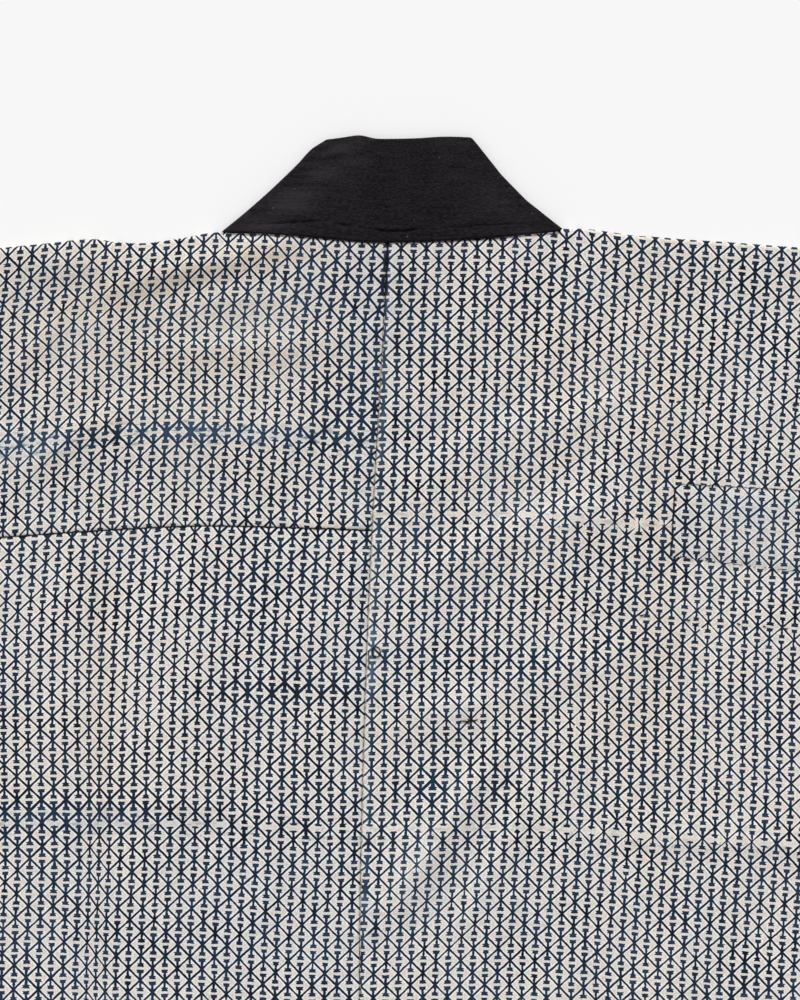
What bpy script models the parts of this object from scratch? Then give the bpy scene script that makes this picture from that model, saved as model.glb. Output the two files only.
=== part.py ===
"""Kimono jacket of stencil-printed cotton with a black collar, laid flat with its back up.

Metres, +Z up. The jacket lies on z = 0 with its collar towards +Y, so its left is at -X. Shapes are
worked out in the neck's frame, whose x = 0, y = 0 is the middle of the back of the neck, and every
object is then moved by NECK_Y, so that the origin is under the middle of the jacket's box.

Each half of the body is one length of cloth from the back hem over the shoulder to the front hem. The
left one is pieced below a cross seam of the back. A sleeve is one rectangle folded at the shoulder and
joined along its lower edge. The collar is one folded band: it stands above the back of the neck, turns
under along a slanting fold at each side, and runs down the edges of both fronts.
"""

from collections import namedtuple

import bmesh
import bpy
import numpy as np

# Walls and clearances
CLOTH = 0.0010          # one layer of printed cotton
BAND = 0.0024           # the folded collar band
GAP = 0.0003            # between pieces at a seam, and between layers
ROLL = 0.0019           # radius of the fold over the shoulder
BAND_TURN = (BAND + GAP) / 2   # radius of the collar's slanting folds, to the middle of its wall

# The cut
PANEL_WIDTH = 0.320     # centre back seam to side seam
LENGTH = 0.820          # back of the neck to the hem
CUFF_X = 0.620          # middle of the back to either cuff
SLEEVE_DEPTH = 0.330    # shoulder fold to the sleeve's lower edge
BAND_HALF_LENGTH = 1.0  # centre back to past the front hem
NECK_DIP = -0.0016      # the collar's seam at the middle of the neck
COLLAR_TOP = 0.0615     # the highest point of the jacket above the neck's line
NECK_Y = (LENGTH - COLLAR_TOP) / 2

# How the layers lie
FRONT_Z = CLOTH / 2                     # middle of the fronts' wall
BACK_Z = CLOTH + GAP + CLOTH / 2        # middle of the back's wall where it lies on a front
BACK_ON_BAND_Z = BAND + GAP + CLOTH / 2     # and where it lies on the collar's lower stretches
BAND_REACH = 0.115      # the collar lies under the back as far as this from its centre seam
BAND_SETTLE = 0.035     # the back comes down to the fronts over this width
ROLL_SETTLE = 0.045     # and from the shoulder's roll over this length
ROLL_BESIDE_NECK = 0.030    # the roll dies away over this width beside the neck
CORNER_CLEAR = 0.0040   # the shoulder's fold starts this far past the collar's own fold

# Along the collar's seam from the centre back: distance, degrees that the seam climbs there
LEFT_CLIMB = ((0.0, 0.0), (0.030, 6.0), (0.060, 3.2), (0.100, 1.5), (0.250, 4.0), (0.450, 7.5), (1.0, 7.5))
RIGHT_CLIMB = ((0.0, 0.0), (0.030, 3.0), (0.060, 4.6), (0.100, 5.5), (0.250, 4.5), (0.450, 4.5), (1.0, 4.5))

# The same way along: distance, the folded collar's width there
LEFT_WIDTH = ((0.0, 0.0612), (0.022, 0.0625), (0.038, 0.0598), (0.060, 0.0577), (0.100, 0.0575),
              (1.0, 0.0575))
RIGHT_WIDTH = ((0.0, 0.0612), (0.032, 0.0620), (0.052, 0.0608), (0.070, 0.0582), (0.110, 0.0575),
               (1.0, 0.0575))

# Columns: sign of x, x and y of the collar's outer corner at the shoulder, angle of its slanting fold, how
# far that fold hollows in between its ends, and the side's two tables along the seam
Side = namedtuple("Side", "sign corner_x corner_y fold_degrees hollow climb width")
LEFT = Side(-1, 0.0997, 0.0041, 42.5, 0.0016, LEFT_CLIMB, LEFT_WIDTH)
RIGHT = Side(1, 0.1021, 0.0065, 44.3, 0.0010, RIGHT_CLIMB, RIGHT_WIDTH)
FOLD_LENGTH = 0.082     # of a slanting fold, from the shoulder to the collar's free edge
BAND_POINTS = 4001      # points along each of the band's two edges, before it is folded

# Columns: distance below the neck, x of the centre back seam
CENTRE_SEAM = ((0.00, -0.0005), (0.05, -0.0030), (0.10, -0.0058), (0.16, -0.0093), (0.22, -0.0121),
               (0.30, -0.0149), (0.40, -0.0170), (0.55, -0.0165), (0.82, -0.0120))

# Columns: distance from the middle, height of the shoulder's edge there on the left, and on the right
SHOULDER = ((0.090, 0.0041, 0.0052), (0.106, 0.0036, 0.0062), (0.118, 0.0012, 0.0058),
            (0.130, -0.0008, 0.0042), (0.143, -0.0024, 0.0022), (0.158, -0.0021, 0.0012),
            (0.174, -0.0001, -0.0002), (0.200, -0.0024, -0.0018), (0.230, -0.0053, -0.0041),
            (0.320, -0.0095, -0.0085), (0.450, -0.0150, -0.0130), (0.620, -0.0200, -0.0180))

# Columns: x, y of the seam across the left back
CROSS_SEAM = ((-0.340, -0.1810), (-0.280, -0.1785), (-0.230, -0.1755), (-0.174, -0.1717), (-0.113, -0.1688),
              (-0.050, -0.1700), (0.010, -0.1722))

# The mend on the right back, from its upper left corner clockwise: x, y
PATCH = ((0.1700, -0.1440), (0.2850, -0.1500), (0.2840, -0.2010), (0.1665, -0.1865))

# Large soft folds of the upper layer: the ends of each one's crest, how far its middle bows to the left
# of the way from the first end to the second, its half width and its height
Fold = namedtuple("Fold", "x0 y0 x1 y1 bow half_width height")
FOLDS = (
    Fold(-0.235, -0.012, -0.060, -0.006, -0.006, 0.011, 0.0030),
    Fold(-0.225, -0.050, -0.040, -0.018, -0.008, 0.014, 0.0016),
    Fold(-0.270, -0.135, -0.010, -0.122, 0.010, 0.016, 0.0014),
    Fold(0.165, 0.020, 0.158, -0.200, 0.006, 0.026, 0.0018),
    Fold(0.060, -0.262, 0.150, -0.236, -0.006, 0.012, 0.0014),
    Fold(0.040, -0.300, -0.020, -0.420, 0.008, 0.013, 0.0018),
    Fold(-0.110, -0.200, -0.150, -0.430, -0.012, 0.030, 0.0015),
    Fold(0.090, -0.352, 0.290, -0.362, 0.005, 0.009, 0.0012),
    Fold(-0.300, -0.455, -0.080, -0.600, 0.020, 0.026, 0.0032),
    Fold(-0.250, -0.640, -0.050, -0.560, -0.014, 0.022, 0.0026),
    Fold(0.050, -0.480, 0.250, -0.610, 0.022, 0.028, 0.0034),
    Fold(0.030, -0.660, 0.270, -0.700, 0.016, 0.020, 0.0024),
    Fold(-0.020, -0.540, -0.010, -0.800, 0.008, 0.018, 0.0018),
    Fold(-0.345, -0.070, -0.590, -0.190, 0.018, 0.022, 0.0036),
    Fold(-0.360, -0.230, -0.560, -0.290, -0.012, 0.018, 0.0026),
    Fold(-0.420, -0.030, -0.610, -0.080, -0.010, 0.016, 0.0022),
    Fold(0.335, -0.090, 0.580, -0.180, -0.016, 0.024, 0.0034),
    Fold(0.350, -0.250, 0.600, -0.270, 0.012, 0.018, 0.0026),
    Fold(0.430, -0.030, 0.600, -0.110, 0.012, 0.015, 0.0022),
)

# How finely each piece is divided
PANEL_COLUMNS = (0.018, 0.036, 0.054, 0.072, 0.088)     # from the centre seam, inside the neck
OUTER_COLUMNS = 11      # from the neck's corner to the side seam
UPPER_ROWS = 12         # shoulder to cross seam
LOWER_ROWS = 27         # cross seam to hem
ROLL_STEPS = 6
SLEEVE_COLUMNS = 11
SLEEVE_ROWS = 13
SLEEVE_FRONT_EVERY = 4  # the sleeve's flat front has one row for so many of its back
SLEEVE_EDGE_STEPS = 3
BAND_SECTIONS_NECK = 4
BAND_SECTIONS_FOLD = 6
BAND_SECTIONS_FRONT = 12   # the fronts have a row at each
BAND_UNSKEW = 0.140     # the band's sections turn square to it over this length after its fold
PATCH_COLUMNS = 7
PATCH_ROWS = 3

# Across the collar band, from its seam to its folded edge: share of the width, share of the thickness
BAND_ACROSS = ((0.0, 1.0), (0.2, 1.0), (0.4, 1.0), (0.6, 1.0), (0.8, 1.0), (0.955, 1.0), (0.985, 0.8),
               (1.0, 0.3))


def curve(rows, at):
    """Values at the places `at` of the smooth curve through rows of (place, value). Between two rows it is
    a cubic, whose slope at each row is the one between that row's neighbours."""
    places, values = np.array(rows, float).T
    slopes = np.gradient(values, places)
    at = np.clip(at, places[0], places[-1])
    i = np.clip(np.searchsorted(places, at, side="right") - 1, 0, len(places) - 2)
    span = places[i + 1] - places[i]
    t = (at - places[i]) / span
    return (
        (1 + 2 * t) * (1 - t) ** 2 * values[i]
        + t * (1 - t) ** 2 * span * slopes[i]
        + t ** 2 * (3 - 2 * t) * values[i + 1]
        + t ** 2 * (t - 1) * span * slopes[i + 1]
    )


def ease(t):
    """0 up to t = 0, 1 from t = 1, and a smooth step between."""
    t = np.clip(t, 0.0, 1.0)
    return t * t * (3 - 2 * t)


def centre_x(y):
    """x of the centre back seam."""
    return curve(CENTRE_SEAM, -np.asarray(y, float))


def shoulder_y(x):
    """y of the shoulder's outer edge."""
    left = curve([(row[0], row[1]) for row in SHOULDER], np.abs(x))
    right = curve([(row[0], row[2]) for row in SHOULDER], np.abs(x))
    return np.where(np.asarray(x) < 0, left, right)


class Band:
    """The collar on one side, in plan with x away from the middle. The band is first laid out unfolded, as
    a strip whose seam edge climbs by the side's own degrees, and then folded about its slanting line."""

    def __init__(self, side):
        self.side = side
        angle = np.radians(side.fold_degrees)
        self.outward = np.array([np.sin(angle), np.cos(angle)])
        self.upward = np.array([-np.cos(angle), np.sin(angle)])
        corner = np.array([side.corner_x, side.corner_y])
        self.fold_foot = corner - self.outward * (BAND_TURN + BAND / 2)
        self.along = np.linspace(0.0, BAND_HALF_LENGTH, BAND_POINTS)
        climb = np.radians(curve(side.climb, self.along))
        step = self.along[1]
        heading = np.stack([np.cos(climb), np.sin(climb)], axis=1)
        middle = (heading[1:] + heading[:-1]) / 2 * step
        self.seam = np.array([0.0, NECK_DIP]) + np.vstack([[0.0, 0.0], np.cumsum(middle, axis=0)])
        width = curve(side.width, self.along)
        self.free = self.seam + width[:, None] * np.stack([-heading[:, 1], heading[:, 0]], axis=1)
        self.neck_x = self.place(self.seam, self.past(self.seam, 0.0))[0]

    def beyond(self, plan):
        """How far unfolded plan points lie past the fold's line, which hollows in between its two ends."""
        away = plan - self.fold_foot
        share = np.clip(away @ self.upward / FOLD_LENGTH, 0.0, 1.0)
        return away @ self.outward + self.side.hollow * 4 * share * (1 - share)

    def past(self, edge, distance):
        """How far along the band that edge lies `distance` past the fold's line."""
        return np.interp(distance, self.beyond(edge), self.along)

    def place(self, edge, along):
        """The unfolded plan points of an edge."""
        return np.stack([np.interp(along, self.along, edge[:, k]) for k in (0, 1)], axis=-1)

    def folded(self, plan):
        """Middle of the wall, and the way its upper face points, for unfolded plan points. A point past the
        line goes round a half cylinder and back underneath."""
        beyond = self.beyond(plan)
        turn = np.clip(beyond / BAND_TURN, 0.0, np.pi)
        straight = np.maximum(beyond - np.pi * BAND_TURN, 0.0)
        shift = BAND_TURN * np.sin(turn) - straight - np.maximum(beyond, 0.0)
        flat = plan + shift[..., None] * self.outward
        z = BAND / 2 + BAND_TURN * (1 + np.cos(turn))
        sign = self.side.sign
        points = np.stack([sign * flat[..., 0], flat[..., 1], z], axis=-1)
        across = np.sin(turn)
        facing = np.stack(
            [sign * self.outward[0] * across, self.outward[1] * across, np.cos(turn)], axis=-1
        )
        return points, facing

    def front_edge(self):
        """Ends of the band's sections along the front, on its seam edge: x and y, down to the hem."""
        points, _ = self.folded(self.place(self.seam, self.sections()[0][-BAND_SECTIONS_FRONT:]))
        return points[:, :2]

    def sections(self):
        """For each section, how far along the band its seam end and its free end lie. They are square to
        the band at the middle of the neck, parallel to the fold's line round the fold, and square again
        below."""
        before = np.linspace(0.0, 1.0, BAND_SECTIONS_NECK + 1)
        neck = [before * self.past(edge, 0.0) for edge in (self.seam, self.free)]
        distances = np.linspace(0.0, np.pi * BAND_TURN, BAND_SECTIONS_FOLD + 1)[1:]
        fold = [self.past(edge, distances) for edge in (self.seam, self.free)]
        ends = [self.reaches_hem(edge) for edge in (self.seam, self.free)]
        seam = np.linspace(fold[0][-1], ends[0], BAND_SECTIONS_FRONT + 1)[1:]
        square = ease((seam - fold[0][-1]) / BAND_UNSKEW)
        lag = (fold[0][-1] - fold[1][-1]) * (1 - square) + (ends[0] - ends[1]) * square
        return (
            np.concatenate([neck[0], fold[0], seam]),
            np.concatenate([neck[1], fold[1], seam - lag]),
        )

    def reaches_hem(self, edge):
        """How far along the band that edge meets the front hem."""
        points, _ = self.folded(edge)
        lower = self.along > self.past(edge, np.pi * BAND_TURN)
        return np.interp(LENGTH, -points[lower, 1], self.along[lower])

    def wall(self):
        """Middle of the wall and facing, section by section from the middle of the neck."""
        seam_along, free_along = self.sections()
        seam = self.place(self.seam, seam_along)[:, None, :]
        free = self.place(self.free, free_along)[:, None, :]
        share = np.array([row[0] for row in BAND_ACROSS])[None, :, None]
        return self.folded(seam + (free - seam) * share)


BANDS = {side.sign: Band(side) for side in (LEFT, RIGHT)}


def neck_seam_y(x, sign):
    """y of the seam between the back and the collar."""
    seam = BANDS[sign].seam
    return np.interp(np.abs(x), seam[:, 0], seam[:, 1])


def fold_heights(x, y):
    """Sum of the soft folds: each is a bell across its crest and dies away towards both ends."""
    z = np.zeros(np.broadcast(x, y).shape)
    for fold in FOLDS:
        dx, dy = fold.x1 - fold.x0, fold.y1 - fold.y0
        length = np.hypot(dx, dy)
        along = ((x - fold.x0) * dx + (y - fold.y0) * dy) / length ** 2
        rise = np.clip(1 - (2 * along - 1) ** 2, 0.0, 1.0)
        off = ((y - fold.y0) * dx - (x - fold.x0) * dy) / length - fold.bow * rise
        z += fold.height * rise * np.exp(-((off / fold.half_width) ** 2))
    return z


def back_z(x, y, sign):
    """Middle of the upper layer's wall above the table: it lies on the band's lower stretches beside the
    centre seam, on the front further out, rises to the roll at the shoulder, and carries the soft folds."""
    beside = np.abs(x - centre_x(y))
    lying = BACK_ON_BAND_Z + (BACK_Z - BACK_ON_BAND_Z) * ease((beside - BAND_REACH) / BAND_SETTLE)
    from_shoulder = shoulder_y(x) - y
    near = 1 - ease(from_shoulder / ROLL_SETTLE)
    neck = BANDS[sign].neck_x
    out = ease((np.abs(x) - neck) / ROLL_BESIDE_NECK + 1)
    top = FRONT_Z + 2 * ROLL
    return lying + (top - lying) * near * out + fold_heights(x, y)


def facing_of(points, ring=False):
    """Unit normals of a grid of points (row, column, xyz), by differences between neighbours."""
    if ring:
        wrapped = np.concatenate([points[-1:], points, points[:1]])
        down = np.gradient(wrapped, axis=0)[1:-1]
    else:
        down = np.gradient(points, axis=0)
    normal = np.cross(np.gradient(points, axis=1), down)
    return normal / np.linalg.norm(normal, axis=-1, keepdims=True)


def wall_object(name, middle, facing, half, colour, keep=None, ring=False):
    """One closed body: the grid `middle` moved `half` along its facing for one face and back for the other,
    and rims between them round the quads that `keep` holds. A ring's last row joins its first."""
    rows, columns = middle.shape[:2]
    faces_rows = rows if ring else rows - 1
    keep = np.ones((faces_rows, columns - 1), bool) if keep is None else keep
    index = np.arange(rows * columns).reshape(rows, columns)
    if ring:
        index = np.vstack([index, index[:1]])
    corners = np.stack([index[:-1, :-1], index[:-1, 1:], index[1:, 1:], index[1:, :-1]], axis=-1)[keep]
    other = rows * columns
    edges = np.concatenate([np.stack([corners[:, k], corners[:, (k + 1) % 4]], axis=1) for k in range(4)])
    key = np.sort(edges, axis=1)
    _, place, count = np.unique(key, axis=0, return_inverse=True, return_counts=True)
    rim = edges[count[place.reshape(-1)] == 1]
    faces = np.concatenate([
        corners,
        corners[:, ::-1] + other,
        np.stack([rim[:, 1], rim[:, 0], rim[:, 0] + other, rim[:, 1] + other], axis=1),
    ])
    outer, inner = middle + facing * half, middle - facing * half
    points = np.concatenate([outer.reshape(-1, 3), inner.reshape(-1, 3)])
    used, faces = np.unique(faces, return_inverse=True)
    mesh = bpy.data.meshes.new(name)
    mesh.from_pydata(points[used].tolist(), [], faces.reshape(-1, 4).tolist())
    built = bmesh.new()
    built.from_mesh(mesh)
    bmesh.ops.recalc_face_normals(built, faces=built.faces)
    built.to_mesh(mesh)
    built.free()
    made = bpy.data.objects.new(name, mesh)
    made.location = (0.0, NECK_Y, 0.0)
    mesh.materials.append(cloth_material(name, colour))
    bpy.context.collection.objects.link(made)
    return made


def cloth_material(name, colour):
    """Matt cotton of one colour."""
    material = bpy.data.materials.new(name)
    material.use_nodes = True
    shader = material.node_tree.nodes["Principled BSDF"]
    shader.inputs["Base Color"].default_value = (*colour, 1.0)
    shader.inputs["Roughness"].default_value = 0.9
    shader.inputs["Metallic"].default_value = 0.0
    return material


def panel_columns(sign):
    """Distances of a panel's columns from the centre seam, and how many of them end at the neck."""
    neck = BANDS[sign].neck_x
    corner = neck + CORNER_CLEAR
    outer = np.linspace(corner, PANEL_WIDTH, OUTER_COLUMNS + 1)
    return np.concatenate([[GAP / 2], PANEL_COLUMNS, [neck], outer]), len(PANEL_COLUMNS) + 2


def back_rows(sign, columns, at_neck, lower, rows, upper=None):
    """Plan points of the back between its lower and upper edge, each given as y of x. Without an upper edge
    it ends at the collar's seam beside the neck and at the start of the shoulder's roll further out."""
    x_top = sign * columns
    if upper is None:
        y_top = shoulder_y(x_top) - ROLL
        y_top[:at_neck] = neck_seam_y(x_top[:at_neck], sign) - GAP
    else:
        x_top = x_top + centre_x(upper(x_top))
        y_top = upper(x_top)
    x_low = sign * columns + centre_x(lower(sign * columns))
    y_low = lower(x_low)
    share = np.linspace(0.0, 1.0, rows + 1)[:, None]
    y = y_low + (y_top - y_low) * share
    return sign * columns + centre_x(y), y


def over_shoulder(sign, columns, x_back, y_back):
    """Middle of the wall of a whole panel: the back's rows, the roll over the shoulder and the front."""
    z_back = back_z(x_back, y_back, sign)
    rows = [np.stack([x_back, y_back, z_back], axis=-1)]
    x_roll, y_edge, z_top = x_back[-1], shoulder_y(x_back[-1]), z_back[-1]
    for turn in np.linspace(np.pi / 2, -np.pi / 2, ROLL_STEPS + 1)[1:]:
        y = y_edge - ROLL * (1 - np.cos(turn))
        z = FRONT_Z + (z_top - FRONT_Z) * (1 + np.sin(turn)) / 2
        rows.append(np.stack([x_roll, y, z], axis=-1)[None])
    corner = BANDS[sign].neck_x + CORNER_CLEAR
    share = (columns - corner) / (PANEL_WIDTH - corner)
    beside_band = BANDS[sign].front_edge()
    inner = beside_band[:, :1] + sign * GAP
    y_front = beside_band[:, 1:]
    x_front = inner + (sign * PANEL_WIDTH + centre_x(y_front) - inner) * share
    y_front = np.broadcast_to(y_front, x_front.shape)
    rows.append(np.stack([x_front, y_front, np.full_like(x_front, FRONT_Z)], axis=-1))
    return np.concatenate(rows)


def hem_y(x):
    """y of the hem, which is straight."""
    return np.full_like(np.asarray(x, float), -LENGTH)


def cross_seam_y(x):
    """y of the seam across the left back."""
    return curve(CROSS_SEAM, x)


def body_panel(name, sign, lower, rows, colour):
    """A back above its lower edge, with the shoulder and the front, and the neck cut out."""
    columns, at_neck = panel_columns(sign)
    x_back, y_back = back_rows(sign, columns, at_neck, lower, rows)
    middle = over_shoulder(sign, columns, x_back, y_back)
    keep = np.ones((len(middle) - 1, len(columns) - 1), bool)
    keep[rows:, :at_neck] = False
    return wall_object(name, middle, facing_of(middle), CLOTH / 2, colour, keep)


def lower_back(name, sign, colour):
    """The left back below its cross seam."""
    columns, _ = panel_columns(sign)
    x, y = back_rows(sign, columns, 0, hem_y, LOWER_ROWS, lambda x: cross_seam_y(x) - GAP)
    middle = np.stack([x, y, back_z(x, y, sign)], axis=-1)
    return wall_object(name, middle, facing_of(middle), CLOTH / 2, colour)


def sleeve(name, sign, colour):
    """A tube of rows round it and columns from the armhole to the cuff."""
    share = np.linspace(0.0, 1.0, SLEEVE_COLUMNS + 1)[None, :]
    cuff = sign * CUFF_X
    x_flat = sign * PANEL_WIDTH + (cuff - sign * PANEL_WIDTH) * share
    y_edge = shoulder_y(x_flat)
    y_low = y_edge - SLEEVE_DEPTH
    down = np.linspace(0.0, 1.0, SLEEVE_ROWS + 1)[:, None]
    lift = (BACK_Z - FRONT_Z) / 2

    def across(y):
        start = sign * (PANEL_WIDTH + GAP) + centre_x(y)
        return start + (cuff - start) * share

    y_back = y_edge - ROLL + (y_low + lift - y_edge + ROLL) * down[::-1]
    x_back = across(y_back)
    z_back = back_z(x_back, y_back, sign)
    rows = [np.stack([x_back, y_back, z_back], axis=-1)]
    for turn in np.linspace(np.pi / 2, -np.pi / 2, ROLL_STEPS + 1)[1:]:
        y = y_edge - ROLL * (1 - np.cos(turn))
        z = FRONT_Z + (z_back[-1:] - FRONT_Z) * (1 + np.sin(turn)) / 2
        rows.append(np.stack([across(y), y, z], axis=-1))
    y_front = y_edge - ROLL + (y_low + lift - y_edge + ROLL) * down[SLEEVE_FRONT_EVERY::SLEEVE_FRONT_EVERY]
    rows.append(np.stack([across(y_front), y_front, np.full_like(y_front, FRONT_Z)], axis=-1))
    for turn in np.linspace(-np.pi / 2, np.pi / 2, SLEEVE_EDGE_STEPS + 1)[:-1]:
        y = y_low + lift * (1 - np.cos(turn))
        z = FRONT_Z + (z_back[:1] - FRONT_Z) * (1 + np.sin(turn)) / 2
        rows.append(np.stack([across(y), y, z], axis=-1))
    middle = np.concatenate(rows)
    return wall_object(name, middle, facing_of(middle, ring=True), CLOTH / 2, colour, ring=True)


def collar(name, colour):
    """The whole band: the left side's sections from its hem up to the neck, then the right side's."""
    left, left_facing = BANDS[-1].wall()
    right, right_facing = BANDS[1].wall()
    middle = np.concatenate([left[::-1], right[1:]])
    facing = np.concatenate([left_facing[::-1], right_facing[1:]])
    half = BAND / 2 * np.array([row[1] for row in BAND_ACROSS])[None, :, None]
    return wall_object(name, middle, facing, half, colour)


def patch(name, colour):
    """The mend: the back's own points between its four corners, moved out by the walls and the gap."""
    corners = np.array(PATCH)
    u = np.linspace(0.0, 1.0, PATCH_COLUMNS + 1)[None, :, None]
    v = np.linspace(0.0, 1.0, PATCH_ROWS + 1)[:, None, None]
    plan = (corners[0] * (1 - u) + corners[1] * u) * (1 - v) + (corners[3] * (1 - u) + corners[2] * u) * v
    x, y = plan[..., 0], plan[..., 1]
    on = np.stack([x, y, back_z(x, y, 1)], axis=-1)
    facing = facing_of(on)
    facing *= np.sign(facing[..., 2:])
    return wall_object(name, on + facing * (CLOTH + GAP), facing, CLOTH / 2, colour)


def main():
    for existing in list(bpy.data.objects):
        bpy.data.objects.remove(existing, do_unlink=True)
    warm_print = (0.26, 0.25, 0.24)
    cool_print = (0.24, 0.25, 0.26)
    body_panel("body_left", -1, cross_seam_y, UPPER_ROWS, warm_print)
    lower_back("back_left_lower", -1, cool_print)
    body_panel("body_right", 1, hem_y, UPPER_ROWS + LOWER_ROWS, warm_print)
    sleeve("sleeve_left", -1, warm_print)
    sleeve("sleeve_right", 1, warm_print)
    collar("collar", (0.018, 0.016, 0.017))
    patch("patch_right", (0.27, 0.30, 0.31))


main()
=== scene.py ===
"""Looks of the kimono jacket, laid flat with its back up and seen straight from above.

Metres, +Z up. Shapes are worked out in the neck's frame, whose x = 0, y = 0 is the middle of the back of the
neck, with the garment's own sizes, and are moved by NECK_Y into the model's frame. Each piece of cloth is a
thin shell on the outer face of its solid, with finer folds, seams and puckers. The outlines of the collar
and the patch are fitted to the photograph and lie up to about 2 mm off their solids'. Two UV maps lie on it:
"cloth" is the place on the cloth in metres (past the shoulder y goes on rising, down the front), and "print"
counts repeats of the stencil, U across and V down. Sewing is small arched threads on the cloth's face.
"""

from collections import namedtuple
from functools import partialmethod

import bpy
import numpy as np
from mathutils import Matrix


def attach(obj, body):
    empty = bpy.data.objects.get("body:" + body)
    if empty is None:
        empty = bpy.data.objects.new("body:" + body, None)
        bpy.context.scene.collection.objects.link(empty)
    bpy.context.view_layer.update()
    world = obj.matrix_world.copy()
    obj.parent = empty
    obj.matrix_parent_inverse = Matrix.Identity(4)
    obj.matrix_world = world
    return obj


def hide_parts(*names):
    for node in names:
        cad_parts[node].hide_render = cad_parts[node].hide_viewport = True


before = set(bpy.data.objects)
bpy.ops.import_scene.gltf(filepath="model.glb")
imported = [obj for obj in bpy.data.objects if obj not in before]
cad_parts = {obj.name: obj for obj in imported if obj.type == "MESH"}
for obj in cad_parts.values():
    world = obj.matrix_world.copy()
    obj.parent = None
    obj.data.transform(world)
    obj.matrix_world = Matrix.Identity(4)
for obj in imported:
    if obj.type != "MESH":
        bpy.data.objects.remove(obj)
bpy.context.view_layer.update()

# Walls and clearances of the solids
CLOTH = 0.0010          # a solid of one layer
BAND = 0.0024           # the solid of the folded collar
GAP = 0.0003            # between two solids
ROLL = 0.0019           # radius of the shoulder's roll
BAND_TURN = (BAND + GAP) / 2
SHELL = 0.0006          # the cloth's own thickness

# The cut
PANEL_WIDTH = 0.320     # centre back seam to side seam
LENGTH = 0.820          # back of the neck to the hem
CUFF_X = 0.620
SLEEVE_DEPTH = 0.330
BAND_HALF_LENGTH = 1.0
NECK_DIP = -0.0016
COLLAR_TOP = 0.0615
NECK_Y = (LENGTH - COLLAR_TOP) / 2

# How the layers lie
FRONT_Z = CLOTH / 2
BACK_Z = CLOTH + GAP + CLOTH / 2
BACK_ON_BAND_Z = BAND + GAP + CLOTH / 2
BAND_REACH = 0.115          # nearer the centre seam than this the back lies on the collar's lower stretches
BAND_SETTLE = 0.035         # and comes down over this much
ROLL_SETTLE = 0.045         # the back rises to the roll over this much below the shoulder
ROLL_BESIDE_NECK = 0.030    # and the rise fades over this much beside the collar
CORNER_CLEAR = 0.0016       # from the corner of the neck to the first whole column of a panel

# Along the collar's seam from the centre back: distance, degrees that the seam climbs there
LEFT_CLIMB = ((0.0, 0.0), (0.030, 6.0), (0.060, 3.2), (0.100, 1.5), (0.250, 4.0), (0.450, 7.5), (1.0, 7.5))
RIGHT_CLIMB = ((0.0, 0.0), (0.030, 3.0), (0.060, 4.6), (0.100, 5.5), (0.250, 4.5), (0.450, 4.5), (1.0, 4.5))

# The same way along: distance, the folded collar's width there
LEFT_WIDTH = ((0.0, 0.0610), (0.010, 0.0610), (0.0235, 0.0622), (0.036, 0.0594), (0.048, 0.0564),
              (0.062, 0.0572), (0.100, 0.0575), (1.0, 0.0575))
RIGHT_WIDTH = ((0.0, 0.0610), (0.020, 0.0611), (0.034, 0.0613), (0.046, 0.0605), (0.056, 0.0592),
               (0.072, 0.0580), (0.110, 0.0575), (1.0, 0.0575))

# How far the folded edge hollows in, from its corner at the shoulder to the top: share of the way, hollow
LEFT_HOLLOW = ((0.0, 0.0), (0.25, 0.0012), (0.50, 0.0016), (0.75, 0.0010), (0.90, 0.0002), (1.0, 0.0016))
RIGHT_HOLLOW = ((0.0, 0.0), (0.15, 0.0011), (0.30, 0.0022), (0.50, 0.0023), (0.70, 0.0010), (0.90, -0.0010),
                (1.0, -0.0014))

Side = namedtuple("Side", "sign corner_x corner_y fold_degrees hollow climb width")
LEFT = Side(-1, 0.0997, 0.0041, 42.5, LEFT_HOLLOW, LEFT_CLIMB, LEFT_WIDTH)
RIGHT = Side(1, 0.1021, 0.0065, 44.3, RIGHT_HOLLOW, RIGHT_CLIMB, RIGHT_WIDTH)
FOLD_LENGTH = 0.082
BAND_POINTS = 4001
BAND_WIDTH = LEFT_WIDTH[-1][1]      # of the folded collar down the fronts

# Columns: distance below the neck, x of the centre back seam
CENTRE_SEAM = ((0.00, -0.0005), (0.05, -0.0030), (0.10, -0.0058), (0.16, -0.0093), (0.22, -0.0121),
               (0.30, -0.0149), (0.40, -0.0170), (0.55, -0.0165), (0.82, -0.0120))

# Columns: distance from the middle, height of the shoulder's edge there on the left, and on the right
SHOULDER = ((0.090, 0.0041, 0.0052), (0.106, 0.0036, 0.0062), (0.118, 0.0012, 0.0058),
            (0.130, -0.0008, 0.0042), (0.143, -0.0024, 0.0022), (0.158, -0.0021, 0.0012),
            (0.174, -0.0001, -0.0002), (0.200, -0.0024, -0.0018), (0.230, -0.0053, -0.0041),
            (0.320, -0.0095, -0.0085), (0.450, -0.0150, -0.0130), (0.620, -0.0200, -0.0180))

# Columns: x, y of the seam across the left back
CROSS_SEAM = ((-0.340, -0.1810), (-0.280, -0.1785), (-0.230, -0.1755), (-0.174, -0.1717), (-0.113, -0.1688),
              (-0.050, -0.1700), (0.010, -0.1722))
UPPER_LENGTH = -CROSS_SEAM[3][1]    # from the neck to the seam, in the middle of the panel

# The mend on the right back, from its upper left corner clockwise: x, y. That corner is rounded off by a
# shift that fades along the mend's width and height, and the edges are turned under.
PATCH = ((0.1682, -0.1437), (0.2850, -0.1500), (0.2840, -0.2010), (0.1655, -0.1865))
PATCH_ROUND_SHIFT = (0.0013, -0.0012)
PATCH_ROUND_SHARES = (0.018, 0.045)
PATCH_SINK = 0.00052        # the whole mend, into the gap below it
PATCH_EDGE_SINK = 0.00078   # its edges besides, over the reach that comes next
PATCH_EDGE = 0.0028

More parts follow.
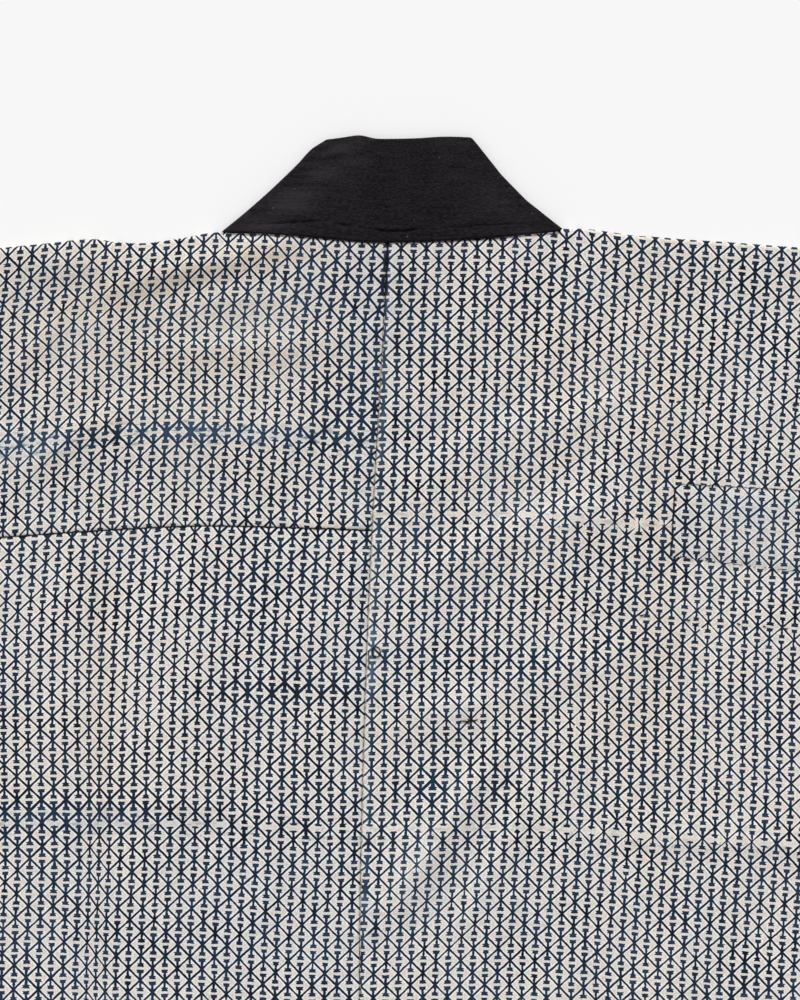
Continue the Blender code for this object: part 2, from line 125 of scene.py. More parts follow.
# The stitches round the inner mend behind it, in the same way, how far the mend raises the cloth, and over
# what edge
MEND = ((0.1235, -0.0945), (0.2900, -0.0990), (0.2900, -0.2340), (0.1165, -0.2190))
MEND_RISE = 0.00035
MEND_EDGE = 0.003

# The knot on the right back: its place, height and reach of the creases round it, depth and reach of its
# dimple, and degrees and reach of its tails
KNOT = (0.0476, -0.2838)
KNOT_CREASE = (0.0005, 0.0085)
KNOT_DIMPLE = (0.0004, 0.003)
KNOT_TAILS = ((14, 0.0050), (70, 0.0026), (128, 0.0022), (176, 0.0062), (235, 0.0022), (300, 0.0024),
              (345, 0.0018))

# Beside the centre seam: the loop's middle and its half width and height, and the two ends of a loose thread
LOOP_MIDDLE = (-0.0076, -0.2428)
LOOP_REACH = (0.0025, 0.0030)
LOOSE_THREAD = ((-0.0120, -0.2419), (-0.0119, -0.2526))

# Soft folds of the upper layer: the ends of each one's crest, how far its middle bows to the left of the way
# from the first end to the second, its half width and its height, and how many times wider its slope to the
# right of that way is
Fold = namedtuple("Fold", "x0 y0 x1 y1 bow half_width height lean", defaults=(1.0,))
MAIN_FOLDS = (
    Fold(-0.235, -0.012, -0.060, -0.006, -0.006, 0.011, 0.0030),
    Fold(-0.225, -0.050, -0.040, -0.018, -0.008, 0.014, 0.0016),
    Fold(-0.270, -0.135, -0.010, -0.122, 0.010, 0.016, 0.0014),
    Fold(0.165, 0.020, 0.158, -0.200, 0.006, 0.026, 0.0018),
    Fold(0.060, -0.262, 0.150, -0.236, -0.006, 0.012, 0.0014),
    Fold(0.040, -0.300, -0.020, -0.420, 0.008, 0.013, 0.0018),
    Fold(-0.110, -0.200, -0.150, -0.430, -0.012, 0.030, 0.0015),
    Fold(0.090, -0.352, 0.290, -0.362, 0.005, 0.009, 0.0012),
    Fold(-0.300, -0.455, -0.080, -0.600, 0.020, 0.026, 0.0032),
    Fold(-0.250, -0.640, -0.050, -0.560, -0.014, 0.022, 0.0026),
    Fold(0.050, -0.480, 0.250, -0.610, 0.022, 0.028, 0.0034),
    Fold(0.030, -0.660, 0.270, -0.700, 0.016, 0.020, 0.0024),
    Fold(-0.020, -0.540, -0.010, -0.800, 0.008, 0.018, 0.0018),
    Fold(-0.345, -0.070, -0.590, -0.190, 0.018, 0.022, 0.0036),
    Fold(-0.360, -0.230, -0.560, -0.290, -0.012, 0.018, 0.0026),
    Fold(-0.420, -0.030, -0.610, -0.080, -0.010, 0.016, 0.0022),
    Fold(0.335, -0.090, 0.580, -0.180, -0.016, 0.024, 0.0034),
    Fold(0.350, -0.250, 0.600, -0.270, 0.012, 0.018, 0.0026),
    Fold(0.430, -0.030, 0.600, -0.110, 0.012, 0.015, 0.0022),
)
FINE_FOLDS = (
    Fold(0.000, -0.152, 0.147, -0.097, 0.012, 0.0090, 0.0021, 2.7),
    Fold(0.006, -0.212, 0.161, -0.157, 0.015, 0.0090, 0.0020, 2.6),
    Fold(0.000, -0.268, 0.073, -0.261, -0.014, 0.0080, 0.0017, 2.2),
    Fold(0.006, -0.404, 0.072, -0.290, 0.003, 0.0085, 0.0027, 1.5),
    Fold(0.028, -0.268, 0.060, -0.276, 0.002, 0.0050, 0.0009, 1.3),
    Fold(0.036, -0.419, 0.080, -0.316, -0.004, 0.0070, 0.0014, 1.4),
    Fold(0.052, -0.440, 0.086, -0.366, 0.002, 0.0055, 0.0010),
    Fold(0.043, -0.028, 0.030, -0.101, 0.003, 0.0060, 0.0008),
    Fold(0.080, -0.040, 0.060, -0.120, -0.003, 0.0060, 0.0006),
    Fold(0.105, -0.030, 0.092, -0.120, -0.004, 0.0060, 0.0008),
    Fold(0.196, -0.060, 0.190, -0.140, 0.003, 0.0070, 0.0006),
    Fold(0.120, -0.354, 0.300, -0.364, 0.002, 0.0022, 0.0007),
    Fold(0.010, -0.330, 0.000, -0.440, 0.003, 0.0050, 0.0007),
    Fold(0.100, -0.120, 0.150, -0.085, 0.004, 0.0060, 0.0009),
    Fold(-0.222, -0.150, -0.126, -0.091, 0.011, 0.0065, 0.0015, 1.6),
    Fold(-0.170, -0.063, -0.016, -0.057, -0.004, 0.0065, 0.0015, 1.6),
    Fold(-0.140, -0.040, -0.050, -0.036, 0.004, 0.0055, 0.0009),
    Fold(-0.200, -0.040, -0.050, -0.001, 0.001, 0.0060, 0.0024, 1.6),
    Fold(-0.224, -0.086, -0.185, -0.040, 0.003, 0.0060, 0.0012, 1.5),
    Fold(-0.064, -0.215, -0.078, -0.420, 0.004, 0.0060, 0.0007),
    Fold(-0.118, -0.240, -0.128, -0.440, -0.004, 0.0060, 0.0007),
    Fold(-0.205, -0.210, -0.196, -0.330, 0.004, 0.0070, 0.0008),
    Fold(-0.225, -0.336, -0.085, -0.334, 0.003, 0.0045, 0.0007),
    Fold(-0.040, -0.460, -0.120, -0.640, 0.008, 0.0070, 0.0012),
    Fold(-0.280, -0.560, -0.180, -0.780, -0.010, 0.0080, 0.0014),
    Fold(0.080, -0.430, 0.130, -0.560, 0.006, 0.0070, 0.0012),
    Fold(0.220, -0.480, 0.290, -0.740, -0.012, 0.0080, 0.0014),
    Fold(0.060, -0.720, 0.200, -0.770, 0.008, 0.0060, 0.0011),
    Fold(-0.360, -0.110, -0.480, -0.220, 0.008, 0.0080, 0.0014),
    Fold(-0.500, -0.150, -0.600, -0.260, 0.010, 0.0070, 0.0012),
    Fold(-0.340, -0.290, -0.470, -0.320, -0.004, 0.0060, 0.0010),
    Fold(0.345, -0.150, 0.450, -0.240, -0.008, 0.0080, 0.0014),
    Fold(0.480, -0.120, 0.600, -0.230, -0.010, 0.0070, 0.0012),
    Fold(0.360, -0.040, 0.520, -0.070, 0.005, 0.0060, 0.0010),
)

# Low waves that no cloth is without: wavelength along x and along y, phase, height
RIPPLES = ((0.093, 0.141, 0.7, 0.00022), (-0.071, 0.118, 2.1, 0.00018), (0.052, -0.067, 4.0, 0.00012),
           (0.037, 0.044, 1.2, 0.00007), (-0.024, 0.031, 5.1, 0.00005))

# Pressed lines on the collar above its seam. Columns: from, to along the band, height share of the width at
# the two ends, how much higher the middle is, depth
COLLAR_LINES = ((-0.081, -0.042, 0.084, 0.155, 0.000, 0.0009), (-0.034, -0.0254, 0.147, 0.131, 0.0, 0.0013),
                (-0.0136, 0.0206, 0.125, 0.125, -0.022, 0.0013), (0.032, 0.083, 0.115, 0.100, 0.008, 0.0006),
                (-0.060, -0.020, 0.62, 0.66, 0.03, 0.00012), (-0.075, -0.045, 0.45, 0.40, 0.05, 0.00015),
                (0.020, 0.060, 0.55, 0.50, -0.03, 0.00012))

# Each kind of stitch: its thread, length, gap to the next and straying, the thread's radius, how high it
# arches, how far it lies above the cloth's face, and how far it slants across its line. The last three are
# single lengths of thread.
Stitch = namedtuple("Stitch", "thread length gap stray radius arch above slant", defaults=(0.0, 0.0))
STITCHES = {
    "centre_seam": Stitch("cream", 0.0026, 0.0022, 0.00018, 0.00026, 0.0002, 0.0004),
    "centre_seam_dark": Stitch("black", 0.0030, 0.0020, 0.00020, 0.00020, 0.0001, 0.0002),
    "cross_seam": Stitch("sooty", 0.0040, 0.0006, 0.00010, 0.00032, 0.0001, 0.0006),
    "patch": Stitch("brown", 0.0016, 0.0026, 0.00020, 0.00020, 0.0003, (CLOTH + GAP) * 0.6, 0.0010),
    "patch_edge": Stitch("brown", 0.0050, 0.0012, 0.00010, 0.00014, 0.0001, (CLOTH + GAP) * 0.35),
    "mend": Stitch("umber", 0.0026, 0.0120, 0.00040, 0.00046, 0.0004, 0.0003),
    "tuck": Stitch("black", 0.0024, 0.0091, 0.00030, 0.00032, 0.0003, 0.0003),
    "collar": Stitch("russet", 0.0034, 0.0012, 0.00012, 0.00020, 0.0002, 0.0005),
    "hem": Stitch("black", 0.0012, 0.0090, 0.00030, 0.00018, 0.0003),
    "loop": Stitch("sooty", 0.0, 0.0, 0.0, 0.00038, 0.0001, 0.0006),
    "loose": Stitch("sooty", 0.0, 0.0, 0.0, 0.00034, 0.0002, 0.0004),
    "knot": Stitch("sooty", 0.0, 0.0, 0.0, 0.00042, 0.0003, 0.0004),
}

# Seams and hems
SEAM_GROOVE = 0.0007        # depth of a seam's groove
SEAM_GROOVE_WIDTH = 0.0009
SEAM_OPEN_TO = 0.045        # the centre seam gapes a little as far below the neck as this
ALLOWANCE = 0.0085          # of cloth under the right side of the centre seam
SIDE_ALLOWANCE = 0.010      # of cloth under the body beside the armhole
CROSS_ALLOWANCE = 0.007     # of cloth under the upper side of the cross seam
ALLOWANCE_RISE = 0.0004
PUCKER_REACH = 0.014        # puckers run out this far from a seam
PUCKER_RISE = 0.00022
HEM = 0.014
CUFF_HEM = 0.010
TUCK_X = -0.1725            # a narrow tuck down the lower left back
TUCK_TOP = -0.215
TUCK_BOTTOM = -0.520
TUCK_FADE = 0.03            # it fades in and out over this length
TUCK_SWAY = 0.0007
TUCK_WAVE = 0.06
TUCK_RISE = 0.0007
TUCK_DIP = 0.0005

# How the stencil's repeats lie on each panel: where the centre seam falls across the repeat, the repeat's
# width at the shoulder and lower down, the row at the neck's line, the repeat's height, the row of one joint
# between two places of the stencil, and how heavily the joints are smeared. Sway: distance below the neck,
# repeats that the columns stray there. Bow: distance from the seam, rise of the rows there at the first depth
# and at the second, which the last entry gives.
Print = namedtuple("Print", "seam_column width_top width_low neck_row height joint smear sway bow depths")
PRINT_RIGHT = Print(
    14.82, 0.01495, 0.01458, 10.13, 0.014250, 34.5, 0.15,
    ((-0.70, 0.05), (-0.45, -0.12), (-0.20, 0.10), (0.02, 0.15), (0.045, 0.14), (0.10, 0.01), (0.18, -0.10),
     (0.25, -0.07), (0.31, -0.15), (0.36, -0.09), (0.39, 0.0), (0.44, 0.14), (0.55, -0.05), (0.68, 0.10),
     (0.82, -0.05)),
    ((0.0, 0.0, 0.0), (0.070, 0.0, 0.0010), (0.100, -0.0015, 0.0007), (0.130, -0.0057, -0.0007),
     (0.160, -0.0097, -0.0032), (0.200, -0.0124, -0.0056), (0.240, -0.0158, -0.0082),
     (0.320, -0.0210, -0.0120)),
    (0.030, 0.290),
)
PRINT_UPPER_LEFT = Print(
    15.70, 0.01432, 0.01432, 10.61, 0.014150, 19.0, 1.0,
    ((-0.70, 0.10), (-0.40, -0.12), (-0.15, 0.08), (0.013, -0.10), (0.030, -0.04), (0.047, 0.08),
     (0.070, 0.04), (0.100, -0.01), (0.140, 0.04), (0.170, 0.0)),
    ((0.0, 0.0, -0.0017), (0.018, 0.0, -0.0007), (0.050, 0.0016, 0.0018), (0.080, 0.0027, 0.0042),
     (0.110, 0.0030, 0.0054), (0.140, 0.0016, 0.0047), (0.170, 0.0000, 0.0019), (0.200, -0.0024, -0.0008),
     (0.225, -0.0045, -0.0030), (0.320, -0.0090, -0.0080)),
    (0.020, 0.100),
)
PRINT_LOWER_LEFT = Print(
    14.82, 0.01456, 0.01450, 10.12, 0.014240, 34.5, 0.35,
    ((0.17, -0.12), (0.24, -0.03), (0.31, -0.03), (0.366, -0.04), (0.40, 0.04), (0.44, 0.11), (0.55, -0.06),
     (0.68, 0.08), (0.82, -0.05)),
    ((0.0, 0.0, 0.0), (0.040, 0.0011, 0.0004), (0.080, 0.0026, 0.0025), (0.115, 0.0041, 0.0033),
     (0.145, 0.0018, 0.0034), (0.180, 0.0007, 0.0045), (0.210, -0.0008, 0.0047), (0.320, -0.0040, 0.0040)),
    (0.190, 0.430),
)
PRINT_PATCH = PRINT_RIGHT._replace(seam_column=14.64, neck_row=9.71, width_low=0.01480, joint=4.0)
TUCK_TAKES = 0.35           # repeats that the tuck takes in

# The cut of the stencil down one column, from a crossing: share of the repeat's height, half width in mm
COLUMN_CUT = (
    (0.000, 0.88), (0.040, 0.74), (0.080, 0.66), (0.286, 0.66), (0.304, 1.00), (0.320, 2.06), (0.348, 2.16),
    (0.360, 1.62), (0.384, 1.54), (0.398, 1.96), (0.412, 2.06), (0.452, 2.08), (0.460, -0.70),
    (0.556, -0.70), (0.562, 1.94), (0.606, 2.06), (0.620, 1.64), (0.642, 1.58), (0.658, 2.02),
    (0.688, 1.92), (0.706, 0.98), (0.724, 0.68), (0.925, 0.66), (0.960, 0.74), (1.000, 0.88),
)
CUT_SCALE = 4.0             # mm of half width for the ramp's full range
REPEAT_MM = (14.6, 14.2)    # the repeat's width and height
LINE_HALF = 0.53            # of the lattice's slanting lines, mm
STENCIL_ROWS = 13.0         # repeats from one joint to the next
GAP_AT = 0.513              # where down the repeat a column's gap lies
PATTERN = ("Ink", "Edge", "Rim", "Core", "Line", "Motif", "Wash")
THREADS_PER_METRE = 1800.0  # of the cloth's weave

# Paint on the cloth. Ink: the paste let more dye through, or less, below 0. Brown and blue: tints of the
# ground, and painted shade where a blot lies in a fold or crease or near the collar, as marked below.
# Pale: ink worn lighter by rubbing, or duller, below 0. Columns: middle x, y, half length, half width,
# degrees, strength
Blot = namedtuple("Blot", "x y along across degrees strength")
BLOTS = {
    "ink": (
        (-0.026, -0.096, 0.024, 0.026, 0, 0.75), (-0.030, -0.032, 0.042, 0.026, 0, 0.50),
        (-0.175, -0.337, 0.080, 0.012, 0, 0.75), (-0.061, -0.2655, 0.055, 0.008, 0, 0.80),
        (-0.060, -0.205, 0.060, 0.030, 0, 0.25), (0.0645, -0.3225, 0.012, 0.011, 0, 0.95),
        (0.0245, -0.322, 0.009, 0.008, 0, 1.10), (0.112, -0.245, 0.045, 0.008, 12, 0.50),
        (0.024, -0.248, 0.045, 0.009, 0, 0.40), (0.170, -0.170, 0.014, 0.022, 0, 0.55),
        (0.040, -0.176, 0.050, 0.020, 0, 0.25), (0.070, -0.300, 0.060, 0.014, 0, 0.35),
        (-0.135, -0.1145, 0.110, 0.0055, 0, 0.30), (-0.130, -0.052, 0.090, 0.022, 0, -0.20),
        (-0.165, -0.240, 0.060, 0.055, 0, -0.15), (0.100, -0.226, 0.035, 0.018, 0, -0.25),
        (0.014, -0.374, 0.028, 0.008, 58, -0.60), (0.125, -0.290, 0.035, 0.018, 0, -0.25),
        # The first blot on the next line only widens the ink, to darken a place on the right back
        (0.071, -0.253, 0.020, 0.015, 0, 0.30), (-0.123, -0.362, 0.040, 0.014, 0, 0.30),
        (0.053, -0.035, 0.050, 0.030, 0, 0.22), (0.219, -0.432, 0.030, 0.020, 0, 0.30),
        (0.149, -0.1677, 0.0165, 0.0021, 2, -3.1), (0.035, -0.1625, 0.040, 0.0032, 0, -0.40),
        (0.118, -0.1662, 0.026, 0.0030, 0, -0.45), (0.139, -0.3510, 0.110, 0.0024, -3.1, -0.70),
        (-0.160, -0.3434, 0.085, 0.0022, -1, -0.60), (-0.0128, -0.3605, 0.0036, 0.0050, 0, 1.20),
        (-0.0136, -0.3820, 0.0034, 0.0050, 0, 1.20), (-0.0098, -0.4080, 0.0034, 0.0045, 0, 1.10),
        (0.211, -0.158, 0.016, 0.006, -4, 0.55), (0.120, -0.705, 0.120, 0.010, 0, 0.70),
        (-0.130, -0.690, 0.090, 0.010, 0, 0.60), (-0.430, -0.240, 0.070, 0.010, 0, 0.60),
        (0.420, -0.290, 0.070, 0.010, 0, 0.60),
    ),
    "brown": (
        # Painted shade: the second blot on the next line, in the crease below the left shoulder
        (-0.130, -0.062, 0.140, 0.060, 0, 0.50), (-0.126, -0.0245, 0.085, 0.009, 14, 1.10),
        # Painted shade: both blots on the next line, below a fold and along an arched fold of the upper left
        # back
        (-0.090, -0.070, 0.090, 0.009, 0, 0.55), (-0.185, -0.118, 0.060, 0.008, 32, 0.45),
        (-0.110, -0.150, 0.090, 0.022, 0, 0.15), (-0.172, -0.260, 0.014, 0.100, 0, 0.75),
        (0.160, -0.080, 0.018, 0.120, 0, 0.58), (0.156, -0.240, 0.021, 0.110, 0, 0.45),
        (0.092, -0.066, 0.038, 0.036, 0, 0.55), (0.155, -0.262, 0.045, 0.030, 0, 0.30),
        # Painted shade: both blots on the next line, below two arched folds of the right back
        (0.065, -0.141, 0.062, 0.010, 17, 0.30), (0.070, -0.190, 0.062, 0.012, 18, 0.38),
        # Painted shade: both blots on the next line, below a fold of the right back and in a curved fold at
        # the far left
        (0.020, -0.290, 0.045, 0.011, 5, 0.50), (-0.202, -0.057, 0.032, 0.006, 53, 0.60),
        (-0.172, -0.410, 0.013, 0.050, 0, 0.30), (0.225, -0.172, 0.035, 0.020, 0, 0.40),
        # Painted shade: the first blot on the next line, with a blue one at the same place, darkens the
        # ground near the collar
        (-0.010, -0.030, 0.060, 0.050, 0, 0.55), (0.040, -0.110, 0.035, 0.022, 0, 0.40),
        # Painted shade: the second blot on the next line, in the fold just below the left of the collar
        (-0.170, -0.006, 0.050, 0.020, 0, 0.35), (-0.068, -0.0085, 0.030, 0.005, -6, 1.00),
        (-0.160, -0.560, 0.090, 0.060, 20, 0.40), (0.180, -0.620, 0.080, 0.050, -15, 0.40),
        (-0.450, -0.140, 0.080, 0.050, 15, 0.45), (0.470, -0.180, 0.080, 0.050, -15, 0.45),
    ),
    "blue": (
        (-0.141, -0.400, 0.180, 0.075, 0, 0.45), (0.200, -0.410, 0.160, 0.065, 0, 0.48),
        (0.050, -0.380, 0.060, 0.060, 0, 0.45), (0.240, -0.105, 0.050, 0.060, 0, 0.35),
        (-0.0135, -0.085, 0.0075, 0.110, 0, 0.8), (0.230, -0.250, 0.050, 0.050, 0, 0.25),
        (-0.0185, -0.260, 0.0070, 0.110, 0, 0.6), (0.176, -0.166, 0.011, 0.022, 0, 0.40),
        # Painted shade: the first blot on the next line, with a brown one at the same place, darkens the
        # ground near the collar
        (-0.010, -0.030, 0.060, 0.050, 0, 0.90), (0.045, -0.112, 0.040, 0.024, 0, 0.60),
        (0.000, -0.250, 0.085, 0.065, 0, 0.50), (-0.050, -0.395, 0.060, 0.060, 0, 0.60),
        (-0.0120, -0.362, 0.005, 0.010, 0, 0.70), (-0.0115, -0.396, 0.005, 0.016, 0, 0.60),
        (0.211, -0.160, 0.022, 0.011, -4, 1.00), (-0.080, -0.1145, 0.062, 0.0042, -2, 1.60),
        (-0.215, -0.1225, 0.034, 0.0090, 6, 1.30), (-0.170, -0.3445, 0.075, 0.0036, -1, 1.50),
        (-0.060, -0.700, 0.100, 0.060, 0, 0.40), (-0.560, -0.250, 0.050, 0.060, 0, 0.40),
        (0.560, -0.090, 0.050, 0.060, 0, 0.40),
    ),
    "pale": (
        (0.014, -0.362, 0.050, 0.009, 58, 0.40), (-0.080, -0.045, 0.055, 0.016, 0, 0.30),
        (-0.095, -0.106, 0.075, 0.013, 0, 0.25), (0.222, -0.176, 0.036, 0.026, 0, 0.20),
        (0.195, -0.378, 0.090, 0.018, 0, 0.35), (-0.123, -0.055, 0.100, 0.045, 0, 0.28),
        (0.048, -0.150, 0.060, 0.075, 0, 0.22), (-0.120, -0.275, 0.110, 0.090, 0, -0.36),
        (0.154, -0.190, 0.040, 0.060, 0, -0.20), (0.042, -0.032, 0.025, 0.045, 0, -0.35),
        (0.110, -0.305, 0.060, 0.040, 0, -0.30), (-0.075, -0.135, 0.030, 0.016, 0, -0.45),
        (-0.003, -0.238, 0.012, 0.050, 0, 0.28), (-0.170, -0.330, 0.080, 0.035, 0, -0.30),
        (-0.160, -0.020, 0.090, 0.020, 0, -0.25), (0.150, -0.060, 0.030, 0.040, 0, -0.30),
        (0.072, -0.178, 0.032, 0.036, 0, 0.40), (0.157, -0.080, 0.055, 0.016, 0, 0.25),
        (0.070, -0.372, 0.045, 0.018, 0, 0.35), (-0.214, -0.126, 0.020, 0.014, 0, 0.45),
        (-0.090, -0.1145, 0.080, 0.0050, -1, 0.45), (-0.215, -0.1225, 0.034, 0.0090, 6, 0.35),
        (-0.165, -0.3395, 0.085, 0.0070, -1, 0.55), (0.240, -0.520, 0.050, 0.070, 10, 0.40),
    ),
}

# Colours of the print, the collar, the floor and the threads, which have two tones each, in 8-bit sRGB
WARM_GROUND = (227, 221, 211)
PLAIN_GROUND = (232, 225, 215)
COOL_GROUND = (231, 225, 217)
PATCH_GROUND = (223, 221, 215)
# Brown and blue tint the ground, and where their blots lie in folds, creases or near the collar they are
# painted shade
BROWN_TINT = (212, 184, 142)
BLUE_TINT = (190, 205, 222)
PINK_MOTTLE = (235, 210, 203)
GREEN_MOTTLE = (206, 212, 196)
LINE_INDIGO = (6, 15, 31)
INDIGO_DARK = (3, 9, 20)
INDIGO = (29, 43, 69)
INDIGO_TEAL = (14, 51, 66)
INDIGO_PURPLE = (44, 37, 70)
INDIGO_CORE = (42, 65, 98)
INDIGO_PALE = (82, 106, 130)
INDIGO_RIM = (44, 82, 122)
INDIGO_DULL = (28, 27, 34)
# The dark of painted shade: in the seams' gaps and along the cross seam, below the collar and along the
# mend's edges
PAINTED_SHADE_DARK = (6, 8, 16)
COLLAR_BLACK = (14, 12, 14)
# The collar's lighter slubs, which is also the colour of its painted sheen along the folded edge
COLLAR_SLUB_AND_SHEEN = (50, 47, 50)
LINT = (104, 108, 110)
FLOOR = (247, 247, 247)
FLOOR_GRAIN = (0.9, 0.9, 0.9)       # linear
THREADS = {
    "cream": ((203, 188, 160), (176, 158, 128)),
    "brown": ((92, 62, 48), (58, 40, 34)),
    "russet": ((84, 48, 46), (48, 30, 32)),
    "black": ((38, 32, 34), (58, 48, 46)),
    "sooty": ((14, 14, 20), (30, 28, 32)),
    "umber": ((38, 20, 20), (54, 32, 28)),
}

# How finely each piece is divided
COLUMN_STEP = 0.0034
ROW_STEP = 0.0034
FRONT_ROW_STEP = 0.0062
PATCH_STEP = 0.0025
ROLL_STEPS = 10
EDGE_STEPS = (0.0, 0.0004, 0.0009, 0.0016, 0.0026, 0.0042, 0.0064)
SLEEVE_STEP = 0.0036

# Floor and light: strengths, and degrees of the sun's softness, tilt and turn
FLOOR_REACH = 30.0
FLOOR_LEVEL = -0.0002
ROOM_LIGHT = 0.42
SUN_LIGHT = 2.96
SUN_SOFTNESS = 25
SUN_TILT = -52
SUN_TURN = 20

# Camera: the photograph is 800 by 1000, and a pixel of it is 0.59 mm at the cloth
PIXEL = 0.00059
IMAGE = (800, 1000)
NECK_PIXEL = (389, 240)
LENS = 85.0
SENSOR = 36.0


def curve(rows, at, column=1):
    """Values at the places `at` of the smooth curve through rows of a place and its values, of which column
    picks one. Between two rows it is a cubic, whose slope at each row is the one between that row's
    neighbours."""
    table = np.array(rows, float)
    places, values = table[:, 0], table[:, column]
    slopes = np.gradient(values, places)
    at = np.clip(at, places[0], places[-1])
    i = np.clip(np.searchsorted(places, at, side="right") - 1, 0, len(places) - 2)
    span = places[i + 1] - places[i]
    t = (at - places[i]) / span
    return (
        (1 + 2 * t) * (1 - t) ** 2 * values[i]
        + t * (1 - t) ** 2 * span * slopes[i]
        + t ** 2 * (3 - 2 * t) * values[i + 1]
        + t ** 2 * (t - 1) * span * slopes[i + 1]
    )


def ease(t):
    """0 up to t = 0, 1 from t = 1, and a smooth step between."""
    t = np.clip(t, 0.0, 1.0)
    return t * t * (3 - 2 * t)


def bell(t):
    """1 at t = 0, falling away as exp(-t squared)."""
    return np.exp(-t ** 2)


def centre_x(y):
    """x of the centre back seam."""
    return curve(CENTRE_SEAM, -np.asarray(y, float))


def shoulder_y(x):
    """y of the shoulder's outer edge."""
    away = np.abs(x)
    return np.where(np.asarray(x) < 0, curve(SHOULDER, away, 1), curve(SHOULDER, away, 2))


def cross_seam_y(x):
    """y of the seam across the left back."""
    return curve(CROSS_SEAM, x)


def hem_y(x):
    """y of the hem, which is straight."""
    return np.full_like(np.asarray(x, float), -LENGTH)


class Band:
    """The collar on one side, in plan with x away from the middle. The band is first laid out unfolded, as
    a strip whose seam edge climbs by the side's own degrees, and then folded about its slanting line."""

    def __init__(self, side):
        self.side = side
        angle = np.radians(side.fold_degrees)
        self.outward = np.array([np.sin(angle), np.cos(angle)])
        self.upward = np.array([-np.cos(angle), np.sin(angle)])
        corner = np.array([side.corner_x, side.corner_y])
        self.fold_foot = corner - self.outward * (BAND_TURN + BAND / 2)
        self.along = np.linspace(0.0, BAND_HALF_LENGTH, BAND_POINTS)
        climb = np.radians(curve(side.climb, self.along))
        heading = np.stack([np.cos(climb), np.sin(climb)], axis=1)
        middle = (heading[1:] + heading[:-1]) / 2 * self.along[1]
        self.seam = np.array([0.0, NECK_DIP]) + np.vstack([[0.0, 0.0], np.cumsum(middle, axis=0)])
        width = curve(side.width, self.along)
        self.free = self.seam + width[:, None] * np.stack([-heading[:, 1], heading[:, 0]], axis=1)
        self.neck_x = self.place(self.seam, self.past(self.seam, 0.0))[0]

    def beyond(self, plan):
        """How far unfolded plan points lie past the fold's line, which hollows in between its two ends."""
        away = plan - self.fold_foot
        share = np.clip(away @ self.upward / FOLD_LENGTH, 0.0, 1.0)
        return away @ self.outward + curve(self.side.hollow, share)

    def past(self, edge, distance):
        """How far along the band that edge lies `distance` past the fold's line."""
        return np.interp(distance, self.beyond(edge), self.along)

    def place(self, edge, along):
        """The unfolded plan points of an edge."""
        return np.stack([np.interp(along, self.along, edge[:, k]) for k in (0, 1)], axis=-1)

    def folded(self, plan):
        """Middle of the wall, and the way its upper face points, for unfolded plan points. A point past the
        line goes round a half cylinder and back underneath."""
        beyond = self.beyond(plan)
        turn = np.clip(beyond / BAND_TURN, 0.0, np.pi)
        straight = np.maximum(beyond - np.pi * BAND_TURN, 0.0)
        shift = BAND_TURN * np.sin(turn) - straight - np.maximum(beyond, 0.0)
        flat = plan + shift[..., None] * self.outward
        z = BAND / 2 + BAND_TURN * (1 + np.cos(turn))
        sign = self.side.sign
        points = np.stack([sign * flat[..., 0], flat[..., 1], z], axis=-1)
        across = np.sin(turn)
        facing = np.stack(
            [sign * self.outward[0] * across, self.outward[1] * across, np.cos(turn)], axis=-1
        )
        return points, facing

    def reaches_hem(self, edge):
        """How far along the band that edge meets the front hem."""
        points, _ = self.folded(edge)
        lower = self.along > self.past(edge, np.pi * BAND_TURN)
        return np.interp(LENGTH, -points[lower, 1], self.along[lower])

    def sections(self, neck_count, fold_count, front_count, unskew):
        """For each section, how far along the band its seam end and its free end lie. They are square to
        the band at the middle of the neck, parallel to the fold's line round the fold, and square again
        below it."""
        before = np.linspace(0.0, 1.0, neck_count + 1)
        neck = [before * self.past(edge, 0.0) for edge in (self.seam, self.free)]
        distances = np.linspace(0.0, np.pi * BAND_TURN, fold_count + 1)[1:]
        fold = [self.past(edge, distances) for edge in (self.seam, self.free)]
        ends = [self.reaches_hem(edge) for edge in (self.seam, self.free)]
        seam = np.linspace(fold[0][-1], ends[0], front_count + 1)[1:]
        square = ease((seam - fold[0][-1]) / unskew)
        lag = (fold[0][-1] - fold[1][-1]) * (1 - square) + (ends[0] - ends[1]) * square
        return np.concatenate([neck[0], fold[0], seam]), np.concatenate([neck[1], fold[1], seam - lag])


BANDS = {side.sign: Band(side) for side in (LEFT, RIGHT)}

# Sections of the band at the neck, round the fold and down the front, and the length over which they turn
# square again: in the solid, which the fronts follow, and in the shell
SOLID_SECTIONS = (4, 6, 12, 0.140)
FINE_SECTIONS = (40, 16, 150, 0.140)


def neck_seam_y(x, sign):
    """y of the seam between the back and the collar."""
    seam = BANDS[sign].seam
    return np.interp(np.abs(x), seam[:, 0], seam[:, 1])


def fold_heights(folds, x, y):
    """Sum of soft folds: each is a bell across its crest and dies away towards both ends."""
    z = np.zeros(np.broadcast(x, y).shape)
    for fold in folds:
        dx, dy = fold.x1 - fold.x0, fold.y1 - fold.y0
        length = np.hypot(dx, dy)
        along = ((x - fold.x0) * dx + (y - fold.y0) * dy) / length ** 2
        rise = np.clip(1 - (2 * along - 1) ** 2, 0.0, 1.0)
        off = ((y - fold.y0) * dx - (x - fold.x0) * dy) / length - fold.bow * rise
        z += fold.height * rise * bell(off / fold.half_width / np.where(off < 0, fold.lean, 1.0))
    return z


